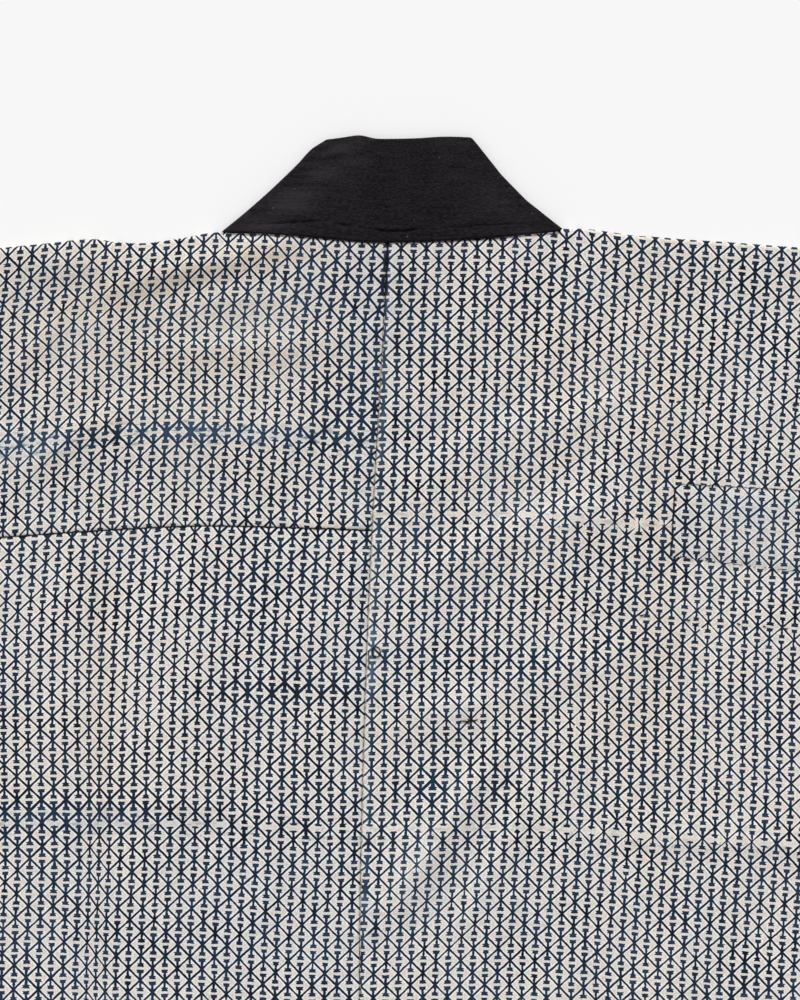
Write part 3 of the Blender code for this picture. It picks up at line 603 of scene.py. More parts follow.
def solid_back_z(x, y, sign):
    """Middle of the upper layer's wall, as in the solids: it lies on the band's lower stretches beside the
    centre seam, on the front further out, rises to the roll at the shoulder, and carries the main folds."""
    beside = np.abs(x - centre_x(y))
    lying = BACK_ON_BAND_Z + (BACK_Z - BACK_ON_BAND_Z) * ease((beside - BAND_REACH) / BAND_SETTLE)
    near = 1 - ease((shoulder_y(x) - y) / ROLL_SETTLE)
    out = ease((np.abs(x) - BANDS[sign].neck_x) / ROLL_BESIDE_NECK + 1)
    top = FRONT_Z + 2 * ROLL
    return lying + (top - lying) * near * out + fold_heights(MAIN_FOLDS, x, y)


def ripples(x, y):
    """Sum of the low plane waves in RIPPLES."""
    z = np.zeros(np.broadcast(x, y).shape)
    for wave_x, wave_y, phase, height in RIPPLES:
        z += height * np.sin(2 * np.pi * (x / wave_x + y / wave_y) + phase)
    return z


def puckers(along, away):
    """Uneven waves along a seam that die away over PUCKER_REACH. Along is a distance on the seam."""
    wave = (
        np.sin(along / 0.0021 + 1.7 * np.sin(along / 0.013))
        + 0.7 * np.sin(along / 0.0037 + 2.3 * np.sin(along / 0.029 + 1.0))
    )
    return PUCKER_RISE * wave * bell(away / PUCKER_REACH) * ease(away / 0.002)


def groove(away):
    """A seam's narrow groove, by the distance from the seam."""
    return -SEAM_GROOVE * bell(away / SEAM_GROOVE_WIDTH)


def fine_relief(x, y, sign):
    """What the shells add to the solids' upper layer: fine folds, low waves, seams, hem, cuff and tuck."""
    z = fold_heights(FINE_FOLDS, x, y) + ripples(x, y)
    beside = np.abs(x - centre_x(y))
    on_body = beside < PANEL_WIDTH
    gape = 1 + 1.2 * ease(1 + y / SEAM_OPEN_TO)
    z += groove(beside / gape) * np.sqrt(gape) + puckers(y, beside)
    if sign > 0:
        z += ALLOWANCE_RISE * (1 - ease((beside - ALLOWANCE) / 0.002))
    side = np.abs(beside - PANEL_WIDTH)
    z += 0.8 * groove(side) + 0.8 * puckers(y + 0.7, side)
    z += ALLOWANCE_RISE * (1 - ease((side - SIDE_ALLOWANCE) / 0.002)) * on_body
    neck = np.abs(y - neck_seam_y(x, sign))
    z += 0.6 * puckers(x, neck) * (np.abs(x) < BANDS[sign].neck_x)
    if sign < 0:
        seam = y - cross_seam_y(x)
        z += on_body * (groove(seam) + 0.9 * puckers(x, np.abs(seam)))
        z += on_body * ALLOWANCE_RISE * (1 - ease((seam - CROSS_ALLOWANCE) / 0.0015)) * (seam > 0)
        tuck = ease((TUCK_TOP - y) / TUCK_FADE) * ease((y - TUCK_BOTTOM) / TUCK_FADE)
        off = x - TUCK_X - TUCK_SWAY * np.sin(y / TUCK_WAVE)
        z += tuck * (TUCK_RISE * bell((off - 0.0022) / 0.0018) - TUCK_DIP * bell(off / 0.0010))
    z += ALLOWANCE_RISE * ease((HEM + 0.001 - (y + LENGTH)) / 0.001) * on_body
    z += ALLOWANCE_RISE * ease((CUFF_HEM + 0.001 - (CUFF_X - np.abs(x))) / 0.001)
    return z


def mend_relief(x, y):
    """The inner mend behind the right back raises the cloth a little between its four sides."""
    (low_x, y0), (high_x, y1), (_, y2), (_, y3) = MEND
    u = (x - low_x) / (high_x - low_x)
    top = y0 + (y1 - y0) * u
    bottom = y3 + (y2 - y3) * u
    inside = ease((x - low_x) / MEND_EDGE) * ease((high_x - x) / MEND_EDGE)
    inside = inside * ease((top - y) / MEND_EDGE) * ease((y - bottom) / MEND_EDGE)
    return MEND_RISE * inside


def knot_relief(x, y):
    """The knot draws the cloth into a dimple with short creases: a wave round it that fades out."""
    dx, dy = x - KNOT[0], y - KNOT[1]
    away = np.hypot(dx, dy)
    round_it = np.sin(5 * np.arctan2(dy, dx) + 1.2)
    height, reach = KNOT_CREASE
    depth, dimple = KNOT_DIMPLE
    return height * round_it * bell(away / reach) * ease(away / 0.002) - depth * bell(away / dimple)


def back_z(x, y, sign):
    """Middle of the upper layer's wall with all its relief."""
    z = solid_back_z(x, y, sign) + fine_relief(x, y, sign)
    if sign > 0:
        z = z + mend_relief(x, y) + knot_relief(x, y)
    return z


def upper_face(x, y, sign):
    """z of the upper layer's outer face, on which threads lie."""
    return back_z(x, y, sign) + CLOTH / 2


def facing_of(points, ring=False):
    """Unit normals of a grid of points (row, column, xyz), by differences between neighbours."""
    if ring:
        wrapped = np.concatenate([points[-1:], points, points[:1]])
        down = np.gradient(wrapped, axis=0)[1:-1]
    else:
        down = np.gradient(points, axis=0)
    normal = np.cross(np.gradient(points, axis=1), down)
    return normal / np.linalg.norm(normal, axis=-1, keepdims=True)


def spaced(length, step, close_low=True, close_high=True):
    """Shares from 0 to 1 along a length: about `step` apart, and closer at the ends that are seams."""
    edge = np.array(EDGE_STEPS)
    low = edge if close_low else edge[:1]
    high = edge if close_high else edge[:1]
    count = int(np.ceil((length - low[-1] - high[-1]) / step))
    inner = np.linspace(low[-1], length - high[-1], count + 1)
    return np.concatenate([low[:-1], inner, length - high[::-1][1:]]) / length


def print_place(layout, sign, beside, y):
    """Repeats across and down at cloth places: the distance from the centre seam, and y, which goes on
    rising past the shoulder. The columns sway and the rows bow as the panel's tables say."""
    depth = -y
    low = ease((depth - layout.depths[0]) / (layout.depths[1] - layout.depths[0]))
    width = layout.width_top + (layout.width_low - layout.width_top) * ease(depth / 0.18)
    rise_top = curve(layout.bow, beside, 1)
    rise_low = curve(layout.bow, beside, 2)
    across = layout.seam_column + curve(layout.sway, depth) + sign * beside / width
    down = layout.neck_row + (depth + rise_top + (rise_low - rise_top) * low) / layout.height
    return across, down


def painted(x, y):
    """The four kinds of paint at cloth places: each blot is an elliptical bell, turned by its degrees."""
    paint = np.zeros(np.broadcast(x, y).shape + (len(BLOTS),))
    for kind, blots in enumerate(BLOTS.values()):
        for blot in map(Blot._make, blots):
            turn = np.radians(blot.degrees)
            dx, dy = x - blot.x, y - blot.y
            along = (dx * np.cos(turn) + dy * np.sin(turn)) / blot.along
            across = (dy * np.cos(turn) - dx * np.sin(turn)) / blot.across
            paint[..., kind] += blot.strength * np.exp(-(along ** 2 + across ** 2) ** 1.5)
    return paint


def wear_and_painted_shade(name, cloth, sign):
    """Painted shade and signs of use at cloth places, in three numbers and an empty fourth: painted
    shade in the gap and along the line of seams, with their dark print and thread, below the collar's
    seam and along the mend's upper and left edges; ink worn off beside the centre seam; and dust in
    that seam."""
    x, y = cloth[..., 0], cloth[..., 1]
    wear_shade_and_sheen = np.zeros(x.shape + (4,))
    beside = np.abs(x - centre_x(np.minimum(y, 0.0)))
    on_back = ease(1 - y / 0.004)
    gape = 0.75 * ease((y + 0.042) / 0.014) + 0.25 * ease((y + 0.060) / 0.020)
    wander = 0.5 + 0.5 * np.sin(y / 0.0037 + 2.0 * np.sin(y / 0.011))
    flicker = 0.5 + 0.5 * np.sin(y / 0.0014 + 3.0 * np.sin(y / 0.0047))
    reach = 0.0001 + 0.0001 * wander + gape * (0.0004 + 0.0006 * wander * flicker)
    dark = 0.52 + 0.44 * gape
    # Painted shade in the centre seam's gap, deeper where it gapes below the neck, with the dark print along
    # it
    wear_shade_and_sheen[..., 0] = on_back * dark * (1 - ease((beside - reach) / 0.0007))
    if sign > 0:
        strength = 0.45 + 0.30 * np.sin(y / 0.017 + 1.0) * np.sin(y / 0.031) + 0.16 * np.sin(y / 0.0035)
        strength = strength + (0.12 + 0.25 * flicker) * bell((y + 0.238) / 0.030)
        wear_shade_and_sheen[..., 1] = on_back * strength * bell((beside - 0.0026) / 0.0024)
    wear_shade_and_sheen[..., 2] = on_back * 0.9 * bell(beside / 0.0012) * (1 - gape)
    # Painted shadow on the back just below the collar's seam
    if name.startswith("body"):
        under = neck_seam_y(x, sign) - y
        shaded = 1 - ease((under - 0.0006 - 0.0005 * wander) / 0.0010)
        wear_shade_and_sheen[..., 0] += 0.7 * shaded * (y < 0.01) * (np.abs(x) < BANDS[sign].neck_x)
    # Painted shade along the mend's upper and left edges, with their threads
    if name == "patch_cloth":
        (x0, y0), (x1, y1), _, (x3, y3) = PATCH
        top = y0 + (y1 - y0) * (x - x0) / (x1 - x0) - y
        left = x - x0 - (x3 - x0) * (y - y0) / (y3 - y0)
        wear_shade_and_sheen[...] = 0.0
        wear_shade_and_sheen[..., 0] = np.maximum(0.60 * (1 - ease((top - 0.0002) / 0.0006)),
                                  (0.7 + 0.3 * wander) * (1 - ease((left - 0.0006) / 0.0008)))
    # Painted shade along the cross seam, with its dark thread
    if name in ("body_left_cloth", "back_left_lower_cloth"):
        seam = y - cross_seam_y(x)
        wear_shade_and_sheen[..., 0] += 0.95 * (1 - ease((np.abs(seam) - 0.0004) / 0.0005)) * (y < 0)
    return wear_shade_and_sheen


def grid_mesh(name, points, maps, colours=None, keep=None, ring=False, flip=False):
    """A mesh of quads on a grid of points (row, column, xyz), with UV maps and colour attributes given on
    the same grid. On a ring the last row of the maps is the first row again, one round on. Keep says which
    quads are there."""
    rows, columns = points.shape[:2]
    index = np.arange(rows * columns).reshape(rows, columns)
    if ring:
        index = np.vstack([index, index[:1]])
    place = np.arange(index.size).reshape(index.shape)
    corner = [np.s_[:-1, :-1], np.s_[:-1, 1:], np.s_[1:, 1:], np.s_[1:, :-1]]
    if flip:
        corner = corner[::-1]
    faces = np.stack([index[at] for at in corner], axis=-1)
    loops = np.stack([place[at] for at in corner], axis=-1)
    keep = np.ones(faces.shape[:2], bool) if keep is None else keep
    faces, loops = faces[keep], loops[keep]
    used, faces = np.unique(faces, return_inverse=True)
    faces = faces.reshape(-1, 4)
    mesh = bpy.data.meshes.new(name)
    mesh.vertices.add(len(used))
    mesh.vertices.foreach_set("co", points.reshape(-1, 3)[used].astype(np.float32).ravel())
    mesh.loops.add(faces.size)
    mesh.loops.foreach_set("vertex_index", faces.astype(np.int32).ravel())
    mesh.polygons.add(len(faces))
    mesh.polygons.foreach_set("loop_start", np.arange(0, faces.size, 4, dtype=np.int32))
    mesh.update(calc_edges=True)
    for map_name, grid in maps.items():
        layer = mesh.uv_layers.new(name=map_name)
        layer.uv.foreach_set("vector", grid.reshape(-1, 2)[loops.ravel()].astype(np.float32).ravel())
    for colour_name, grid in (colours or {}).items():
        stored = mesh.color_attributes.new(colour_name, "FLOAT_COLOR", "POINT")
        stored.data.foreach_set("color", grid.reshape(-1, 4)[used].astype(np.float32).ravel())
    mesh.validate()
    mesh.shade_smooth()
    return mesh


def added(name, mesh, material):
    """An object with that mesh, which is moved from the neck's frame into the model's, and material."""
    mesh.materials.append(material)
    made = bpy.data.objects.new(name, mesh)
    bpy.context.collection.objects.link(made)
    places = np.empty(len(mesh.vertices) * 3, np.float32)
    mesh.vertices.foreach_get("co", places)
    places[1::3] += NECK_Y
    mesh.vertices.foreach_set("co", places)
    mesh.update()
    return made


def thickened(made):
    """Gives a shell the cloth's thickness, inwards from its outer face."""
    solidify = made.modifiers.new("Thickness", "SOLIDIFY")
    solidify.thickness = SHELL
    solidify.offset = -1.0
    return made


def cloth_piece(name, middle, sign, cloth, layout, material, node,
                keep=None, once_round=None):
    """A shell on the outer face of a wall whose middle is the grid. Cloth is the grid of cloth places. If
    the grid closes to a ring, once_round is y on the cloth of its first row, reached again."""
    ring = once_round is not None
    facing = facing_of(middle, ring)
    flip = facing[0, :, 2].mean() < 0
    if flip:
        facing = -facing
    if ring:
        cloth = np.concatenate([cloth, cloth[:1]])
        cloth[-1, :, 1] = once_round
    beside = np.abs(cloth[..., 0] - centre_x(np.minimum(cloth[..., 1], 0.0)))
    across, down = print_place(layout, sign, beside, cloth[..., 1])
    if name == "back_left_lower_cloth":
        taken = ease((TUCK_TOP - cloth[..., 1]) / 0.19) * ease((TUCK_X + 0.011 - cloth[..., 0]) / 0.022)
        across = across - TUCK_TAKES * taken
    maps = {"print": np.stack([across, down], axis=-1), "cloth": cloth}
    on_mesh = cloth[:len(middle)]
    colours = {"paint": painted(on_mesh[..., 0], on_mesh[..., 1]), "wear_shade_and_sheen": wear_and_painted_shade(name, on_mesh, sign)}
    mesh = grid_mesh(name, middle + facing * CLOTH / 2, maps, colours, keep, ring, flip)
    made = thickened(added(name, mesh, material))
    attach(made, "root")
    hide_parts(node)


def panel_columns(sign):
    """Distances of a panel's columns from the centre seam, and how many of them end at the neck."""
    neck = BANDS[sign].neck_x
    corner = neck + CORNER_CLEAR
    beside = GAP / 2 + np.array(EDGE_STEPS)
    inner = np.linspace(beside[-1], neck, int(neck / COLUMN_STEP))[1:]
    outer = corner + (PANEL_WIDTH - corner) * spaced(PANEL_WIDTH - corner, COLUMN_STEP, close_low=False)
    return np.concatenate([beside, inner, outer]), len(beside) + len(inner)


def back_grid(sign, columns, at_neck, lower, shares, upper=None):
    """Plan points of the back between its lower and upper edge, each given as y of x. Without an upper edge
    it ends at the collar's seam beside the neck and at the start of the shoulder's roll further out."""
    x_top = sign * columns
    if upper is None:
        y_top = shoulder_y(x_top) - ROLL
        y_top[:at_neck] = neck_seam_y(x_top[:at_neck], sign) - GAP
    else:
        x_top = x_top + centre_x(upper(x_top))
        y_top = upper(x_top)
    y_low = lower(sign * columns + centre_x(lower(sign * columns)))
    y = y_low + (y_top - y_low) * shares[:, None]
    return sign * columns + centre_x(y), y


def roll_rows(y_edge, z_top):
    """y, z and y on the cloth of each row round the shoulder's roll, a half circle from the side that is
    stretched to the heights of the two layers it joins."""
    for turn in np.linspace(np.pi / 2, -np.pi / 2, ROLL_STEPS + 1)[1:]:
        y = y_edge - ROLL * (1 - np.cos(turn))
        z = FRONT_Z + (z_top - FRONT_Z) * (1 + np.sin(turn)) / 2
        yield y, z, y_edge - ROLL + ROLL * (np.pi / 2 - turn)


def over_shoulder(sign, columns, x_back, y_back):
    """Middle of the wall of a whole panel and its cloth places: the back's rows, the roll over the shoulder
    and the front, whose inner edge runs down beside the collar band."""
    z_back = back_z(x_back, y_back, sign)
    rows = [np.stack([x_back, y_back, z_back], axis=-1)]
    cloth = [np.stack([x_back, y_back], axis=-1)]
    x_roll, y_edge = x_back[-1], shoulder_y(x_back[-1])
    for y, z, past in roll_rows(y_edge, z_back[-1]):
        rows.append(np.stack([x_roll, y, z], axis=-1)[None])
        cloth.append(np.stack([x_roll, past], axis=-1)[None])
    band = BANDS[sign]
    edge, _ = band.folded(band.place(band.seam, band.sections(*SOLID_SECTIONS)[0][-SOLID_SECTIONS[2]:]))
    corner = band.neck_x + CORNER_CLEAR
    share = (columns - corner) / (PANEL_WIDTH - corner)
    down = spaced(LENGTH, FRONT_ROW_STEP, close_low=False)[1:, None]
    y = y_edge - ROLL + (-LENGTH - y_edge + ROLL) * down
    first_y = (shoulder_y(sign * corner) - ROLL).item()
    line_y = np.concatenate([[-first_y], -edge[:, 1]])
    line_x = np.concatenate([[sign * corner + centre_x(0.0)], edge[:, 0] + sign * GAP])
    inner = np.interp(-y, line_y, line_x)
    x = inner + (sign * PANEL_WIDTH + centre_x(y) - inner) * share
    rows.append(np.stack([x, y, np.full_like(x, FRONT_Z)], axis=-1))
    past = 2 * (y_edge - ROLL) - y + ROLL * np.pi
    cloth.append(np.stack([x, past], axis=-1))
    return np.concatenate(rows), np.concatenate(cloth)


def body_panel(name, sign, lower, length, layout, material, node):
    """A back above its lower edge, with the shoulder and the front, and the neck cut out."""
    columns, at_neck = panel_columns(sign)
    shares = spaced(length, ROW_STEP)
    x_back, y_back = back_grid(sign, columns, at_neck, lower, shares)
    middle, cloth = over_shoulder(sign, columns, x_back, y_back)
    keep = np.ones((len(middle) - 1, len(columns) - 1), bool)
    keep[len(shares) - 1:, :at_neck] = False
    cloth_piece(name, middle, sign, cloth, layout, material, node, keep)


def lower_back(name, sign, layout, material, node):
    """The left back below its cross seam."""
    columns, _ = panel_columns(sign)
    shares = spaced(LENGTH - UPPER_LENGTH, ROW_STEP)
    x, y = back_grid(sign, columns, 0, hem_y, shares, lambda x: cross_seam_y(x) - GAP)
    middle = np.stack([x, y, back_z(x, y, sign)], axis=-1)
    cloth = np.stack([x, y], axis=-1)
    cloth_piece(name, middle, sign, cloth, layout, material, node)


def sleeve(name, sign, layout, material, node):
    """A flat tube: columns from the armhole to the cuff, and rows that go up the back, round the shoulder's
    roll, down the front and round the lower edge, a small half circle."""
    cuff = sign * CUFF_X
    share = spaced(CUFF_X - PANEL_WIDTH, SLEEVE_STEP)[None, :]
    y_edge = shoulder_y(sign * PANEL_WIDTH + (cuff - sign * PANEL_WIDTH) * share)
    y_low = y_edge - SLEEVE_DEPTH
    lift = (BACK_Z - FRONT_Z) / 2
    height = SLEEVE_DEPTH - ROLL - lift
    down = spaced(height, SLEEVE_STEP, close_low=False)[:, None]

    def across(y):
        start = sign * (PANEL_WIDTH + GAP) + centre_x(y)
        return start + (cuff - start) * share

    y_back = y_low + lift + height * down
    x_back = across(y_back)
    z_back = back_z(x_back, y_back, sign)
    rows = [np.stack([x_back, y_back, z_back], axis=-1)]
    past = [y_back]
    for y, z, y_on_cloth in roll_rows(y_edge, z_back[-1:]):
        rows.append(np.stack([across(y), y, z], axis=-1))
        past.append(y_on_cloth)
    top = y_edge - ROLL + ROLL * np.pi
    y_front = y_edge - ROLL - height * spaced(height, FRONT_ROW_STEP, False, False)[1:, None]
    rows.append(np.stack([across(y_front), y_front, np.full_like(y_front, FRONT_Z)], axis=-1))
    past.append(top + (y_edge - ROLL - y_front))
    for turn in np.linspace(-np.pi / 2, np.pi / 2, 6)[:-1]:
        y = y_low + lift * (1 - np.cos(turn))
        z = FRONT_Z + (z_back[:1] - FRONT_Z) * (1 + np.sin(turn)) / 2
        rows.append(np.stack([across(y), y, z], axis=-1))
        past.append(top + height + lift * (turn + np.pi / 2))
    middle = np.concatenate(rows)
    cloth = np.stack([middle[..., 0], np.concatenate(past)], axis=-1)
    cloth_piece(name, middle, sign, cloth, layout, material, node,
                once_round=top + height + lift * np.pi)


def band_profile(width):
    """Round the folded band's section from the seam edge over the top to the free edge and back below:
    share of the width, and height in half thicknesses. Both edges are half ellipses."""
    edge = BAND / 2 / width
    seam = np.linspace(0.0, np.pi / 2, 5)[:-1]
    free = np.linspace(0.0, np.pi, 13)
    low = np.concatenate([np.linspace(edge, 0.07, 4)[:-1], np.linspace(0.07, 0.18, 19)])
    top = np.concatenate([low, np.linspace(0.18, 1 - edge, 26)[1:]])
    share = np.concatenate([
        edge * (1 - np.cos(seam)), top, 1 - edge + edge * np.sin(free[1:-1]), top[::-1],
        edge * (1 - np.cos(seam[::-1])),
    ])
    flat = np.ones(len(top))
    height = np.concatenate([np.sin(seam), flat, np.cos(free[1:-1]), -flat, -np.sin(seam[::-1])])
    return share, height


def collar(name, material, node):
    """The folded band: sections along it, and round each one the profile of its folded edge."""
    share, height = band_profile(BAND_WIDTH)
    parts, worn = [], []
    for sign in (-1, 1):
        band = BANDS[sign]
        seam_along, free_along = band.sections(*FINE_SECTIONS)
        seam = band.place(band.seam, seam_along)[:, None, :]
        free = band.place(band.free, free_along)[:, None, :]
        points, facing = band.folded(seam + (free - seam) * share[None, :, None])
        dents = collar_relief(sign * seam_along[:, None], share[None, :]) * (height > 0.5)
        points = points + facing * (BAND / 2 * height[:, None] + dents[..., None])
        fold = band.beyond(seam + (free - seam) * share[None, :, None])
        wear_shade_and_sheen = np.zeros(fold.shape + (4,))
        # A painted sheen along the folded edge, full on the left and weaker on the right
        wear_shade_and_sheen[..., 0] = bell((fold + 0.011) / 0.011) * (height > 0.5) * (1.0 if sign < 0 else 0.4)
        worn.append(wear_shade_and_sheen)
        length = sign * np.broadcast_to(seam_along[:, None], points.shape[:2])
        round_it = np.where(height >= 0, share, 2 - share) * BAND_WIDTH
        parts.append((points, np.stack([length, np.broadcast_to(round_it, length.shape)], axis=-1)))
    points = np.concatenate([parts[0][0][::-1], parts[1][0][1:]])
    cloth = np.concatenate([parts[0][1][::-1], parts[1][1][1:]])
    middle_row = FINE_SECTIONS[0] + FINE_SECTIONS[1] + FINE_SECTIONS[2]
    flip = facing_of(points)[middle_row, 20, 2] < 0
    wear_shade_and_sheen = np.concatenate([worn[0][::-1], worn[1][1:]])
    mesh = grid_mesh(name, points, {"cloth": cloth}, {"wear_shade_and_sheen": wear_shade_and_sheen}, flip=flip)
    made = thickened(added(name, mesh, material))
    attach(made, "root")
    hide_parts(node)
    length = sum(BANDS[sign].reaches_hem(BANDS[sign].seam) for sign in (-1, 1))


def collar_relief(along, share):
    """Dents of the upper face: short pressed lines, and low waves along and across the band."""
    z = 0.00010 * np.sin(along / 0.0085 + 2 * np.sin(share * 5)) * np.sin(share * 9 + along / 0.03)
    z = z + 0.00015 * np.sin(along / 0.0031 + 3 * share) * bell(share / 0.08)
    for start, end, share_start, share_end, bow, depth in COLLAR_LINES:
        t = np.clip((along - start) / (end - start), 0.0, 1.0)
        rise = 4 * t * (1 - t)
        off = (share - share_start - (share_end - share_start) * t - bow * rise) * BAND_WIDTH
        uneven = 0.75 + 0.25 * np.sin(along / 0.0017 + 2 * np.sin(along / 0.005))
        z = z - depth * uneven * np.sqrt(rise) * (bell(off / 0.0006) - 0.6 * bell((off - 0.0016) / 0.0012))
    return z


def patch(name, material, node):
    """The mend: the back's own points between its four corners with the upper left one rounded, moved out
    by the walls and the gap, with edges that are turned under."""
    corners = np.array(PATCH)
    wide, high = PATCH[1][0] - PATCH[0][0], PATCH[0][1] - PATCH[3][1]
    u = spaced(wide, PATCH_STEP)[None, :, None]
    v = spaced(high, PATCH_STEP)[:, None, None]
    plan = (corners[0] * (1 - u) + corners[1] * u) * (1 - v) + (corners[3] * (1 - u) + corners[2] * u) * v
    plan = plan + bell(u / PATCH_ROUND_SHARES[0]) * bell(v / PATCH_ROUND_SHARES[1]) * PATCH_ROUND_SHIFT
    x, y = plan[..., 0], plan[..., 1]
    on = np.stack([x, y, back_z(x, y, 1)], axis=-1)
    facing = facing_of(on)
    facing *= np.sign(facing[..., 2:])
    edge = np.minimum(np.minimum(u, 1 - u)[..., 0] * wide, np.minimum(v, 1 - v)[..., 0] * high)
    under = -PATCH_EDGE_SINK * bell(edge / PATCH_EDGE) - PATCH_SINK
    middle = on + facing * (CLOTH + GAP + under[..., None])
    cloth_piece(name, middle, 1, plan, PRINT_PATCH, material, node)


def threads(name, starts, ends, sign, stitch):
    """Stitches as one mesh: each is a tube bent over a half sine from its start to its end on the cloth's
    upper face, with both ends sunk into it."""
    starts, ends = np.asarray(starts, float), np.asarray(ends, float)
    t = np.linspace(0.0, 1.0, 6)[None, :, None]
    plan = starts[:, None, :] * (1 - t) + ends[:, None, :] * t
    over = np.sin(np.pi * t[..., 0])
    ground = upper_face(plan[..., 0], plan[..., 1], sign) + stitch.above
    z = ground + stitch.arch * over - stitch.radius * (1 - over) * 1.6
    way = ends - starts
    way = way / np.linalg.norm(way, axis=-1, keepdims=True)
    across = np.stack([-way[:, 1], way[:, 0]], axis=-1)[:, None, None, :]
    turn = np.linspace(0.0, 2 * np.pi, 6)[:-1]
    thick = stitch.radius * (0.55 + 0.45 * over)[..., None]
    ring_xy = plan[:, :, None, :] + across * (np.cos(turn) * thick)[..., None]
    ring_z = z[..., None] + np.sin(turn) * thick
    points = np.concatenate([ring_xy, ring_z[..., None]], axis=-1)
    count, sections, sides = points.shape[:3]
    index = np.arange(count * sections * sides).reshape(count, sections, sides)
    after = np.roll(index, -1, axis=2)
    tube = np.stack([index[:, :-1], after[:, :-1], after[:, 1:], index[:, 1:]], axis=-1).reshape(-1, 4)
    caps = np.concatenate([index[:, 0, ::-1], index[:, -1]])
    mesh = bpy.data.meshes.new(name)
    mesh.from_pydata(points.reshape(-1, 3).tolist(), [], tube.tolist() + caps.tolist())
    mesh.shade_smooth()
    made = added(name, mesh, bpy.data.materials[f"{stitch.thread}_thread"])
    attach(made, "root")


def stitched(name, kind, points, sign, seed):
    """A run of one kind of stitch along a line of points."""
    threads(name, *run_of(points, STITCHES[kind], seed), sign, STITCHES[kind])


def run_of(points, stitch, seed):
    """Starts and ends of running stitches along a line of points, each a little off in place and length,
    and slanting across the line where the kind of stitch says so, as on a hemmed edge."""
    points = np.asarray(points, float)
    rng = np.random.default_rng(seed)
    reach = np.concatenate([[0.0], np.cumsum(np.linalg.norm(np.diff(points, axis=0), axis=1))])
    pitch = stitch.length + stitch.gap
    count = int(reach[-1] / pitch)
    start = (np.arange(count) + 0.2 * rng.uniform(-1, 1, count)).clip(0.0) * pitch
    end = start + stitch.length * rng.uniform(0.75, 1.2, count)
    at = [np.stack([np.interp(s, reach, points[:, k]) for k in (0, 1)], axis=-1) for s in (start, end)]
    way = at[1] - at[0]
    way = way / np.maximum(np.linalg.norm(way, axis=-1, keepdims=True), 1e-9)
    across = np.stack([-way[:, 1], way[:, 0]], axis=-1)
    shift = across * stitch.stray * rng.normal(0.0, 1.0, (2, count, 1)).clip(-2, 2)
    return at[0] + shift[0] - across * stitch.slant / 2, at[1] + shift[1] + across * stitch.slant / 2


def line_between(a, b, count=40):
    """Plan points evenly along a straight line."""
    t = np.linspace(0.0, 1.0, count)[:, None]
    return np.array(a) * (1 - t) + np.array(b) * t


def feed(tree, slot, value):
    """Puts a number or an (r, g, b) into a socket, or links a signal or another socket to it."""
    if isinstance(value, Signal):
        tree.links.new(value.socket, slot)
    elif isinstance(value, bpy.types.NodeSocket):
        tree.links.new(value, slot)
    else:
        slot.default_value = (*value, 1.0) if isinstance(value, tuple) else value


class Signal:
    """A number in a node tree. Arithmetic on it adds Math nodes, so that a pattern reads as a formula."""

    def __init__(self, tree, socket):
        self.tree = tree
        self.socket = socket

    def math(self, operation, *others):
        """A Math node on this number and the others."""
        node = self.tree.nodes.new("ShaderNodeMath")
        node.operation = operation
        for slot, value in zip(node.inputs, (self, *others)):
            feed(self.tree, slot, value)
        return Signal(self.tree, node.outputs[0])

    __add__ = partialmethod(math, "ADD")
    __sub__ = partialmethod(math, "SUBTRACT")
    __mul__ = partialmethod(math, "MULTIPLY")
    __truediv__ = partialmethod(math, "DIVIDE")
    fract = partialmethod(math, "FRACT")
    floor = partialmethod(math, "FLOOR")
    size = partialmethod(math, "ABSOLUTE")
    sine = partialmethod(math, "SINE")
    least = partialmethod(math, "MINIMUM")
    most = partialmethod(math, "MAXIMUM")

    def off_whole(self):
        """Distance to the nearest whole number, 0 to 0.5."""
        return ((self + 0.5).fract() - 0.5).size()

    def share(self):
        """Kept between 0 and 1."""
        return self.most(0.0).least(1.0)

    def step(self, low, high):
        """0 up to low, 1 from high (or the other way about), and a smooth step between."""
        node = self.tree.nodes.new("ShaderNodeMapRange")
        node.interpolation_type = "SMOOTHSTEP"
        feed(self.tree, node.inputs["Value"], self)
        turned = low > high
        node.inputs["From Min"].default_value = high if turned else low
        node.inputs["From Max"].default_value = low if turned else high
        node.inputs["To Min"].default_value = 1.0 if turned else 0.0
        node.inputs["To Max"].default_value = 0.0 if turned else 1.0
        return Signal(self.tree, node.outputs["Result"])


def joined(tree, x, y):
    """A vector of two numbers or signals."""
    node = tree.nodes.new("ShaderNodeCombineXYZ")
    feed(tree, node.inputs["X"], x)
    feed(tree, node.inputs["Y"], y)
    return node.outputs[0]


def split(tree, socket):
    """The first two numbers of a vector."""
    node = tree.nodes.new("ShaderNodeSeparateXYZ")
    tree.links.new(socket, node.inputs[0])
    return Signal(tree, node.outputs[0]), Signal(tree, node.outputs[1])


def noise(tree, vector, scale, detail=2.0, roughness=0.5):
    """Smooth noise, about 0 to 1, at a vector."""
    node = tree.nodes.new("ShaderNodeTexNoise")
    tree.links.new(vector, node.inputs["Vector"])
    node.inputs["Scale"].default_value = scale
    node.inputs["Detail"].default_value = detail
    node.inputs["Roughness"].default_value = roughness
    return Signal(tree, node.outputs["Fac"])


def random_of(tree, x, y):
    """A random number for each pair of whole numbers."""
    node = tree.nodes.new("ShaderNodeTexWhiteNoise")
    node.noise_dimensions = "2D"
    tree.links.new(joined(tree, x, y), node.inputs["Vector"])
    return Signal(tree, node.outputs["Value"])


def cells(tree, vector, scale):
    """Scattered points: the distance to the nearest one, and its own random number."""
    node = tree.nodes.new("ShaderNodeTexVoronoi")
    node.inputs["Scale"].default_value = scale
    tree.links.new(vector, node.inputs["Vector"])
    return Signal(tree, node.outputs["Distance"]), Signal(tree, node.outputs["Color"])


